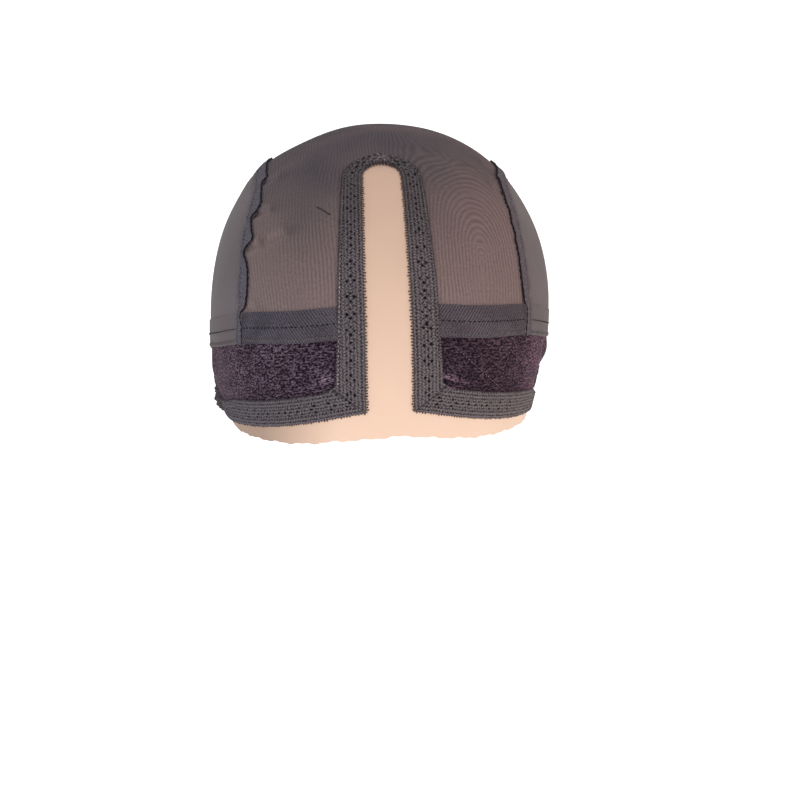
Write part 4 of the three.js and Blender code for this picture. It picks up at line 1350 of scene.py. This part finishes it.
def elastic_strip(track, width_at, mitres, slots):
    """Rows across one run of elastic. Towards a mitred end each row is sheared, so that the last one lies
    on the mitre: the distance along moves by the mitre's slope times the distance across. The mitre's inner
    corner is filled with a small round."""
    spacing = in_mm(sizes().fine_grid)
    reach = 2.6 * ELASTIC_WIDTH
    columns = int(ELASTIC_WIDTH / (0.95 * spacing))
    s = np.linspace(0, track.length, int(track.length / spacing) + 1)[:, None]
    share = np.linspace(0, 1, columns + 1)[None, :]
    trimmed = arc_trim(track, s)
    across = trimmed + share * (width_at(s) - trimmed)
    for slope, gone in ((mitres[0], s), (mitres[1], track.length - s)):
        if slope:
            past = np.clip(0.62 * gone + 0.29 * CORNER_ROUND, 0, CORNER_ROUND)
            filled = CORNER_ROUND - np.sqrt(CORNER_ROUND**2 - (CORNER_ROUND - past) ** 2)
            across = across * (1 + filled / ELASTIC_WIDTH * share**3)
    sheared = s + mitres[0] * np.clip(1 - s / reach, 0, 1) * across
    sheared = sheared - mitres[1] * np.clip(1 - (track.length - s) / reach, 0, 1) * across
    height, deep = knit(sheared, across, width_at(sheared), slots)
    return track.beside(sheared, across), height, stacked(sheared, across, 0.0), deep


def elastic_strips():
    """The right foot, the parting and the left foot, joined at their mitres, with a bunch and a fold at the
    top of the arc."""
    ahead = FEET[-1].points[-1] - FEET[-1].points[-8]
    up = PARTING.points[4] - PARTING.points[0]
    turn = math.acos(float(unit(ahead) @ unit(up)))
    slope = math.tan(turn / 2)
    strips = [
        elastic_strip(FEET[-1], foot_width(-1), (0.0, slope), FOOT_SLOTS),
        elastic_strip(PARTING, parting_width, (slope, slope), PARTING_SLOTS),
        elastic_strip(FEET[1], foot_width(1), (slope, 0.0), FOOT_SLOTS),
    ]
    for first, second in ((0, 1), (1, 2)):
        points = (strips[first][0][-1] + strips[second][0][0]) / 2
        strips[first][0][-1] = strips[second][0][0] = points
        height = strips[first][1][-1] - 0.35
        strips[first][1][-1] = strips[second][1][0] = height
        strips[first][3][-1] = strips[second][3][0] = 0.45
    points, height = strips[1][0], strips[1][1]
    peak = bump((points[..., 0] - 0.3) / 3.4) * ease((angle_over(points) - ARC_CENTRE - 2) / 3)
    fold = bump((points[..., 0] - 2.8) / 0.7) * ease((angle_over(points) - ARC_CENTRE - 2) / 3)
    height += 0.9 * peak - 0.9 * fold
    # Painted highlight on the peak: its shade value is lowered below 0.
    strips[1][3][...] -= 0.55 * peak
    return strips


def make_elastic():
    """Elastic with its fringe, and the stitches that sew its outer edge down."""
    size = sizes()
    piece = sheet_piece(
        "elastic", elastic_strips(), TRIM_WALL, replaces=["elastic_trim"], slot_name="elastic",
        material=elastic_finish(
            # The dark thread colour also paints the shade in the elastic's holes.
            "Perforated elastic", colours().elastic_deep, colours().elastic, colours().dark_thread
        ),
    )
    make_fringe()
    make_edge_loops()
    thread = thread_finish("Elastic thread", colours().elastic_thread)
    light = thread_finish("Light sewing thread", colours().light_thread)
    top = TRIM_BASE + TRIM_WALL - 0.15
    foot, change, end = FEET[1].length, 0.62 * RISER_LENGTH, PARTING.length - ELASTIC_WIDTH
    runs = (
        ("foot_stitches_right", FEET[-1], foot_width(-1), (0, foot - ELASTIC_WIDTH), thread),
        ("foot_stitches_left", FEET[1], foot_width(1), (ELASTIC_WIDTH, foot - 1), thread),
        ("riser_stitches_right", PARTING, parting_width, (ELASTIC_WIDTH, change), light),
        ("riser_stitches_left", PARTING, parting_width, (change, end), thread),
    )
    for number, (name, track, width_at, (first, last), material) in enumerate(runs):
        begin, stop = dashes(track.length, 0.85 * in_mm(size.stitch_pitch), 0.5, number)
        kept = (begin > first) & (stop < last)
        sewn = [
            lifted(track.beside(at, width_at(at) - STITCHES_IN), top) for at in (begin[kept], stop[kept])
        ]
        stitches_piece(
            name, [sewn], 0.8 * in_mm(size.stitch_thread), 0.2, slot_name="elastic", material=material
        )


def make_fringe():
    """Picot fringe over the lace: two threads that swing out and back half a loop apart."""
    size = sizes()
    pitch, reach = in_mm(size.picot_pitch), in_mm(size.picot_reach)
    material = thread_finish("Fringe thread", colours().fringe, 0.5)
    for number, half in enumerate((0.0, 0.5)):
        paths = []
        for track, trimmed in ((FEET[-1], (0, 0.4)), (PARTING, (0.4, 0.4)), (FEET[1], (0.4, 0))):
            s = np.arange(trimmed[0], track.length - trimmed[1], pitch / 8)
            swing = (s / pitch + half) % 1
            uneven = 1 + 0.16 * np.sin(s * 0.83 + half * 9) + 0.1 * np.sin(s * 2.17)
            out = 0.4 - reach * uneven * np.sin(np.pi * swing) ** 2
            loop = 0.28 * pitch * np.sin(2 * np.pi * swing)
            height = PANEL_WALL + 0.3 + 0.7 * np.cos(np.pi * swing) ** 4
            paths.append(lifted(track.beside(s + loop, out + arc_trim(track, s)), height))
        path = np.concatenate(paths)
        thread_piece(
            f"picot_fringe_{number + 1}", path, in_mm(size.picot_thread), 5, slot_name="elastic",
            material=material,
        )


def make_edge_loops():
    """Dark loops along the risers' outer edges: a thread that swings a little over the cloth beside."""
    pitch = 0.5 * in_mm(sizes().picot_pitch)
    s = np.arange(1.4 * ELASTIC_WIDTH, PARTING.length - 1.4 * ELASTIC_WIDTH, pitch / 6)
    swing = 0.5 - 0.5 * np.cos(2 * np.pi * s / pitch)
    reach = 0.3 * (1 + 0.3 * np.sin(s * 0.9) + 0.2 * np.sin(s * 2.3))
    height = TRIM_BASE + 0.7 - 0.35 * swing
    path = lifted(PARTING.beside(s, parting_width(s) - 0.15 + reach * swing), height)
    thread_piece(
        "edge_loops", path, 0.16, 5, slot_name="elastic",
        material=thread_finish("Edge thread", toned(colours().elastic_deep, 1.6), 0.5),
    )


def band_rows(side, start_at, end_at, columns, lowest_at=None):
    """Rows of a band between its lower and upper edges, and between two ends given for each height."""
    rows = int(BAND_WIDTH / (0.62 * in_mm(sizes().grid)))
    up = np.linspace(0, 1, rows + 1)[:, None]
    share = np.linspace(0, 1, columns + 1)[None, :]
    starts = np.array([start_at(float(u)) for u in up[:, 0]])[:, None]
    ends = np.array([end_at(float(u)) for u in up[:, 0]])[:, None]
    azimuth = starts + (ends - starts) * share
    low, high = band_bottom_at(azimuth), band_top_at(azimuth)
    if lowest_at is not None:
        low = np.maximum(low, lowest_at(azimuth))
    points = aim(azimuth, low + (high - low) * up, side)
    return points, up + 0 * azimuth


def band_level(up):
    """The line of a band at a share of its height, as an elevation for each azimuth."""
    return lambda azimuth: band_bottom_at(azimuth) + (band_top_at(azimuth) - band_bottom_at(azimuth)) * up


def band_seam_azimuth(side, up, distance):
    """Azimuth at which a band meets its side seam, at a share of its height."""
    angle = seam_crossing(side, SEAM["over"][0], ARC_CENTRE, band_level(up))
    return float(azimuth_of(seam_point(side, np.array(angle), distance)))


def riser_edge_azimuth(up):
    """Azimuth at which a band meets the riser's outer edge."""
    s = np.linspace(ELASTIC_WIDTH, RISER_LENGTH, 300)
    line = PARTING.beside(s, parting_width(s))
    low, _ = cut_at(line, band_level(up))
    return float(azimuth_of(low[-1]))


def band_relief(points, up, thick):
    """Height of a band: flush with the panel at the top, grooved along the running stitch, with a rolled
    lower edge."""
    groove = 0.3 * thick * bump((up - 0.5) * BAND_WIDTH / 0.55)
    hem = 0.22 * bump((up * BAND_WIDTH - 0.8) / 0.5)
    edge = 0.35 * thick * bump(up * BAND_WIDTH / 0.4)
    lies = 1 - 0.85 * ease((up - 0.42) / 0.55)
    rise = PANEL_WALL + 0.3 + thick * lies - groove + thick * hem - edge + 0.08 * ripple(points, 14.0, 51)
    return rise + pull_of_gathers(points)


def band_cloth(points, up):
    """Place in the band's cloth: along by the azimuth, and across by the share of its height."""
    return stacked(azimuth_of(points) * BAND_PER_DEGREE, up * BAND_WIDTH, 0.0)


def band_runs(side):
    """A side's two bands, from the riser to the seam and from the seam to the velvet's end. Each has the
    azimuths of its ends by the height, its thickness, its lowest line and the share of its width it fills."""
    clear = math.degrees(SEAM_GAP / TO_FOREHEAD)
    return {
        "front": (
            lambda up: riser_edge_azimuth(up) - clear,
            lambda up: band_seam_azimuth(side, up, -0.2),
            0.9, None, 0.97,
        ),
        "side": (
            lambda up: band_seam_azimuth(side, up, 2.5),
            lambda up: VELVET_END,
            0.3, tucked_top_at, 0.85,
        ),
    }


def make_bands():
    """Bands, each with a dark running stitch down its middle and a fine zigzag along its lower edge."""
    finishes = {
        "front": band_finish("Doubled mesh band", colours().band, toned(colours().band, 1.6)),
        "side": plain_mesh_finish(
            "Side band mesh", toned(colours().side, 0.92), toned(colours().side, 1.1)
        ),
    }
    spacing = 0.62 * in_mm(sizes().grid)
    width = BAND_WIDTH * MM
    dark, light = [], []
    for side, word in SIDES:
        for run, (start_at, end_at, thick, lowest_at, filled) in band_runs(side).items():
            span = (end_at(0.5) - start_at(0.5)) * BAND_PER_DEGREE
            points, up = band_rows(side, start_at, end_at, int(span / spacing), lowest_at)
            height = band_relief(points, up, thick)
            piece = sheet_piece(
                f"mesh_band_{run}_{word}", [(points, height, band_cloth(points, up), 0.0)], BAND_CLOTH,
                replaces=[f"band_{run}_{word}"], slot_name="band_mesh", material=finishes[run],
            )
            span * MM
            width * span * MM * filled
            row = points.shape[0] // 2
            middle = Track(points[row])
            dark.append([
                lifted(middle.at(at), np.interp(at, middle.marks, height[row]) + 0.1)
                for at in dashes(middle.length, in_mm(sizes().stitch_pitch), 0.6, 60 + side)
            ])
            low, high = Track(points[1]), Track(points[3])
            scale = high.length / low.length
            steps = np.arange(0.6, low.length - 1.4, 1.3)
            rise = np.interp(steps, low.marks, height[2]) + 0.12
            light += [
                [lifted(low.at(steps), rise), lifted(high.at((steps + 0.56) * scale), rise)],
                [lifted(high.at((steps + 0.62) * scale), rise), lifted(low.at(steps + 1.2), rise)],
            ]
    thread = in_mm(sizes().stitch_thread)
    stitches_piece(
        "band_running_stitches", dark, 1.1 * thread, 0.12, slot_name="band_mesh",
        material=thread_finish("Dark sewing thread", colours().dark_thread),
    )
    stitches_piece(
        "band_zigzag_stitches", light, 0.55 * thread, 0.06, slot_name="band_mesh",
        material=thread_finish("Zigzag thread", colours().elastic_thread),
    )


def seam_relief(side, across, along, past_band):
    """Height of a seam allowance, and how deep its pinholes lie: a rolled fold at the seam, a low swell
    beside it, two rows of pinholes and a thin outer edge. Over the band it lies higher and flatter."""
    fold = 0.3 * bump((across - 0.3) / 0.6) * (0.3 + 0.7 * past_band)
    lay = 0.3 * bump((across - 2.4) / 1.6) * past_band
    holes = np.zeros(across.shape)
    for place, shift in PINHOLES:
        away = ((along / PINHOLE_PITCH + shift) % 1 - 0.5) * PINHOLE_PITCH
        holes = np.maximum(holes, ease(1.5 - np.hypot(away / 0.36, (across - place) / 0.34)))
    edge = 0.5 * ease((across - ALLOWANCE + 0.9) / (TAPE_WIDTH - ALLOWANCE))
    height = PANEL_WALL + 0.65 + 0.45 * (1 - past_band) + fold + lay - 0.45 * holes - edge
    uneven = ripple(stacked(along, across * 1.4, side * 40.0), 6.0, 71)
    return height + 0.26 * uneven * (0.25 + past_band) - 0.45 * bump((across + 0.9) / 0.4), holes


def make_seam_thread(side, word, angle, past_band, material):
    """Dark thread in a side seam: it follows the jogs, wavers a little, and is thinner over the band."""
    along = np.radians(angle) * SEAM_ROUND
    waver = 0.12 * np.sin(along * 1.9 + np.sin(along * 0.7))
    line = seam_point(side, angle, waver - 0.7, jogged=1.0)
    roll = 1 + 0.2 * np.sin(along * 2.4) - 0.6 * (1 - past_band)
    rise = PANEL_WALL + 0.55 + 0.8 * (1 - past_band)
    thread_piece(
        f"seam_thread_{word}", lifted(line, rise), in_mm(sizes().seam_thread) * roll,
        slot_name="seam_tape", material=material,
    )


def make_seams():
    """Side seams: the allowance lies towards the ear, with a scalloped edge that is caught down, and a dark
    thread in the seam."""
    material = tape_finish("Seam allowance", colours().seam, toned(colours().seam, 1.7), colours().side)
    dark = thread_finish("Seam thread", colours().dark_thread)
    outer = np.concatenate([np.linspace(-0.9, 0.9, 9), np.linspace(1.2, TAPE_WIDTH, 14)])
    for side, word in SIDES:
        start, _ = seam_ends(side, band_bottom_at)
        _, finish = seam_ends(side)
        angles = np.linspace(start, finish, 900)[:, None]
        across = outer[None, :] + 0 * angles
        along = np.radians(angles) * SEAM_ROUND
        caught = np.abs(np.sin(np.pi * along / 4.2 + 0.8 * np.sin(along / 9)))
        scallop = 0.35 * ease((across - 2.5) / 2) * caught
        base = seam_point(
            side, angles, across - scallop, steady=ease(across / ALLOWANCE), jogged=1 - ease(across / 3.4)
        )
        past_band = ease((angle_over(seam_point(side, angles, 0 * angles)) - start - 7.5) / 3)
        height, holes = seam_relief(side, across, along, past_band)
        rings = np.concatenate([lifted(base, height), lifted(base[:, ::-1], PANEL_WALL)], axis=1)
        both_sides = np.concatenate([across, across[:, ::-1]], axis=1)
        swept_piece(
            f"seam_allowance_{word}", rings, stacked(along + 0 * both_sides, both_sides, 0.0),
            # The pinholes also give the shade attribute: painted shade in them.
            np.concatenate([holes, 0 * holes], axis=1), replaces=[f"seam_tape_{word}"],
            slot_name="seam_tape", material=material,
        )
        make_seam_thread(side, word, angles[:, 0], past_band[:, 0], dark)


def casing_swell(phase, share, ends):
    """Height of the gathers as a share: each leans a little across the casing, the first ones are low and
    those towards the other end stand out more."""
    lean = 0.16 * np.sin(5.1 * share + 1.7 * phase) * np.sin(np.pi * share)
    swell = gather_swell(np.clip(phase + lean, 0, GATHERS - 1e-6)) * ends
    return swell * (0.3 + 0.7 * ease(phase / 3)) * (1 + 0.5 * bump((GATHERS - phase - 1.0) / 1.6))


def make_casing():
    """Gathered casing: rings across the path, whose outer side swells at each gather and is pinched along
    two stitched channels."""
    s = np.linspace(0, CASING.length, 760)[:, None]
    width = casing_width_at(azimuth_of(CASING.at(s[:, 0])))[:, None]
    phase = s / CASING.length * GATHERS
    ends = ease(np.minimum(s, CASING.length - s) / 1.6)
    share = np.concatenate([np.linspace(1, 0, 29), np.linspace(0.04, 0.96, 6)])[None, :]
    upper = np.arange(share.shape[1])[None, :] < 29
    swell = casing_swell(phase, share, ends)
    bow = (1 - np.abs(2 * share - 1) ** 5) ** 0.6
    channels = sum(bump((share - channel) / 0.05) for channel in CHANNELS)
    wrinkles = 0.2 * np.sin(2 * np.pi * (phase * 2.6 + 1.3 * np.sin(3.1 * share + 0.7 * phase)))
    full = CASING_WALL + swell * GATHER_HEIGHT + wrinkles * (0.4 + swell) * ends
    full = full - 0.8 * (1 - ease(phase / 2.5))
    height = np.where(upper, 0.35 + (full - 0.35) * bow - 0.55 * channels * (0.4 + swell), 0.0)
    spread = GATHER_SPREAD * GATHER_HEIGHT * swell * np.where(upper, 1.0, 0.3)
    across = -spread + share * (width + 2 * spread)
    rings = lifted(CASING.beside(s + 0 * across, across), height)
    # Painted shade in the valleys between the gathers and in the stitched channels.
    deep = np.where(upper, np.clip(1 - swell * 1.6, 0, 1) * 0.7 + 0.35 * channels, 0.0)
    piece = swept_piece(
        "nape_casing", rings, stacked(s + 0 * across, across, 0.0), np.clip(deep, 0, 1),
        replaces=["nape_band"], slot_name="casing",
        material=casing_finish(
            "Gathered casing", toned(colours().casing, 0.45), toned(colours().casing, 1.25)
        ),
    )

    def on_channel(channel, at):
        inset = casing_width_at(azimuth_of(CASING.at(at))) * channel
        swell = gather_swell(at / CASING.length * GATHERS)
        return lifted(CASING.beside(at, inset), CASING_WALL + 0.5 * GATHER_HEIGHT * swell)

    dashed = dashes(CASING.length, in_mm(sizes().stitch_pitch) * 1.2, 0.6, 80)
    stitches_piece(
        "casing_stitches", [[on_channel(channel, at) for at in dashed] for channel in CHANNELS],
        in_mm(sizes().stitch_thread), 0.2, slot_name="casing",
        material=thread_finish("Casing thread", colours().dark_thread),
    )


# Stage

CAMERA_PLACE = (-0.0101, -0.3638, 0.0748)
CAMERA_RIGHT = (0.9984, -0.0563, -0.0083)
CAMERA_UP = (0.0349, 0.4913, 0.8703)
CAMERA_BACK = (-0.0449, -0.8692, 0.4924)
LENS = 37.35
FLOOR_LEVEL = -0.25


def area_light(name, place, target, size, power, colour):
    """A square soft light at a place, turned to a target."""
    light = bpy.data.lights.new(name, "AREA")
    light.size = size
    light.energy = power
    light.color = colour
    lamp = bpy.data.objects.new(name, light)
    lamp.location = place
    lamp.rotation_euler = (Vector(target) - Vector(place)).to_track_quat("-Z", "Y").to_euler()
    bpy.context.scene.collection.objects.link(lamp)
    return lamp


def make_stage():
    """Camera, soft lights and a pale floor that curves up behind the cap."""
    scene = bpy.context.scene
    camera = bpy.data.objects.new("camera", bpy.data.cameras.new("camera"))
    camera.data.lens = LENS
    camera.data.sensor_width = 36.0
    camera.data.clip_start = 0.01
    camera.data.clip_end = 50.0
    turn = Matrix((CAMERA_RIGHT, CAMERA_UP, CAMERA_BACK)).transposed().to_4x4()
    camera.matrix_world = Matrix.Translation(Vector(CAMERA_PLACE)) @ turn
    scene.collection.objects.link(camera)
    scene.camera = camera

    rows, columns = 60, 4
    t = np.linspace(0, 1, rows + 1)[:, None]
    x = np.linspace(-4, 4, columns + 1)[None, :]
    bend, reach, height = 0.8, 2.2, 3.4
    flat = reach + 2.0
    curve = np.pi / 2 * bend
    total = flat + curve + height
    run = t * total
    angle = np.clip((run - flat) / bend, 0, np.pi / 2)
    y = np.minimum(run, flat) - 2.0 + bend * np.sin(angle)
    z = FLOOR_LEVEL + bend * (1 - np.cos(angle)) + np.maximum(run - flat - curve, 0)
    points = stacked(x, y, z).reshape(-1, 3)
    grid = np.arange(points.shape[0]).reshape(rows + 1, columns + 1)
    faces = np.stack([grid[:-1, :-1], grid[:-1, 1:], grid[1:, 1:], grid[1:, :-1]], -1).reshape(-1, 4)
    mesh = bpy.data.meshes.new("floor")
    mesh.from_pydata(points.tolist(), [], faces.tolist())
    mesh.shade_smooth()
    floor = bpy.data.objects.new("floor", mesh)
    scene.collection.objects.link(floor)
    material = bpy.data.materials.new("Pale floor")
    material.use_nodes = True
    shader = material.node_tree.nodes["Principled BSDF"]
    shader.inputs["Base Color"].default_value = (0.93, 0.93, 0.93, 1.0)
    shader.inputs["Roughness"].default_value = 0.9
    shader.inputs["Specular IOR Level"].default_value = 0.1
    shader.inputs["Emission Color"].default_value = (1.0, 1.0, 1.0, 1.0)
    shader.inputs["Emission Strength"].default_value = 0.28
    mesh.materials.append(material)
    floor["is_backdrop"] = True

    world = bpy.data.worlds.new("soft sky")
    world.use_nodes = True
    world.node_tree.nodes["Background"].inputs["Color"].default_value = (1.0, 1.0, 1.0, 1.0)
    world.node_tree.nodes["Background"].inputs["Strength"].default_value = 1.0
    scene.world = world
    scene.view_settings.view_transform = "Standard"
    area_light("key", (0.5, -1.1, 0.45), (0, 0, -0.07), 0.5, 6.0, (1.0, 0.93, 0.86))
    area_light("fill", (-0.7, -0.9, 0.5), (0, 0, -0.07), 0.6, 2.5, (0.96, 0.97, 1.0))
    area_light("rim", (0.2, 1.0, 0.9), (0, 0, -0.05), 0.8, 1.5, (1.0, 1.0, 1.0))


# Operators and panel


class CAP_OT_stage(bpy.types.Operator):
    """Makes the camera, the lights and the pale floor"""

    bl_idname = "cap.stage"
    bl_label = "Stage"

    def execute(self, context):
        make_stage()
        return {"FINISHED"}


class CAP_OT_crown(bpy.types.Operator):
    """Makes the sheer crown panel and its stray thread"""

    bl_idname = "cap.crown"
    bl_label = "Crown mesh"

    def execute(self, context):
        make_crown()
        return {"FINISHED"}


class CAP_OT_sides(bpy.types.Operator):
    """Makes the two side panels"""

    bl_idname = "cap.sides"
    bl_label = "Side mesh"

    def execute(self, context):
        make_sides()
        return {"FINISHED"}


class CAP_OT_velvet(bpy.types.Operator):
    """Makes the two velvet panels and their quilting"""

    bl_idname = "cap.velvet"
    bl_label = "Velvet grip"

    def execute(self, context):
        make_velvet()
        return {"FINISHED"}


class CAP_OT_lace(bpy.types.Operator):
    """Makes the lace of the forehead and the parting"""

    bl_idname = "cap.lace"
    bl_label = "Lace"

    def execute(self, context):
        make_lace()
        return {"FINISHED"}


class CAP_OT_elastic(bpy.types.Operator):
    """Makes the perforated elastic, its fringe and its stitches"""

    bl_idname = "cap.elastic"
    bl_label = "Elastic"

    def execute(self, context):
        make_elastic()
        return {"FINISHED"}


class CAP_OT_bands(bpy.types.Operator):
    """Makes the doubled mesh bands and their stitches"""

    bl_idname = "cap.bands"
    bl_label = "Bands"

    def execute(self, context):
        make_bands()
        return {"FINISHED"}


class CAP_OT_seams(bpy.types.Operator):
    """Makes the seam allowances and their threads"""

    bl_idname = "cap.seams"
    bl_label = "Side seams"

    def execute(self, context):
        make_seams()
        return {"FINISHED"}


class CAP_OT_casing(bpy.types.Operator):
    """Makes the gathered casing and its stitches"""

    bl_idname = "cap.casing"
    bl_label = "Nape casing"

    def execute(self, context):
        make_casing()
        return {"FINISHED"}


OPERATORS = [
    CAP_OT_stage,
    CAP_OT_crown,
    CAP_OT_sides,
    CAP_OT_velvet,
    CAP_OT_lace,
    CAP_OT_elastic,
    CAP_OT_bands,
    CAP_OT_seams,
    CAP_OT_casing,
]


class CAP_PT_panel(bpy.types.Panel):
    """Panel in the 3D view's sidebar with the cap's pieces, sizes and colours"""

    bl_label = "Wig cap"
    bl_idname = "CAP_PT_panel"
    bl_space_type = "VIEW_3D"
    bl_region_type = "UI"
    bl_category = "Wig cap"

    def draw(self, context):
        for kind in OPERATORS:
            self.layout.operator(kind.bl_idname)
        for group in (context.scene.cap_sizes, context.scene.cap_colours):
            box = self.layout.box()
            for name in group.bl_rna.properties.keys():
                if name not in ("rna_type", "name"):
                    box.prop(group, name)


CLASSES = [CapSizes, CapColours, *OPERATORS, CAP_PT_panel]


def register():
    for kind in CLASSES:
        bpy.utils.register_class(kind)
    bpy.types.Scene.cap_sizes = PointerProperty(type=CapSizes)
    bpy.types.Scene.cap_colours = PointerProperty(type=CapColours)


def unregister():
    del bpy.types.Scene.cap_sizes
    del bpy.types.Scene.cap_colours
    for kind in reversed(CLASSES):
        bpy.utils.unregister_class(kind)


def main():
    register()
    bpy.ops.cap.stage()
    bpy.ops.cap.crown()
    bpy.ops.cap.sides()
    bpy.ops.cap.velvet()
    bpy.ops.cap.lace()
    bpy.ops.cap.elastic()
    bpy.ops.cap.bands()
    bpy.ops.cap.seams()
    bpy.ops.cap.casing()
    boxes = {"cad": CAD_BOX, "visual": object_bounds()}
    {name: [list(corner) for corner in box] for name, box in boxes.items()}


if __name__ == "__main__":
    main()
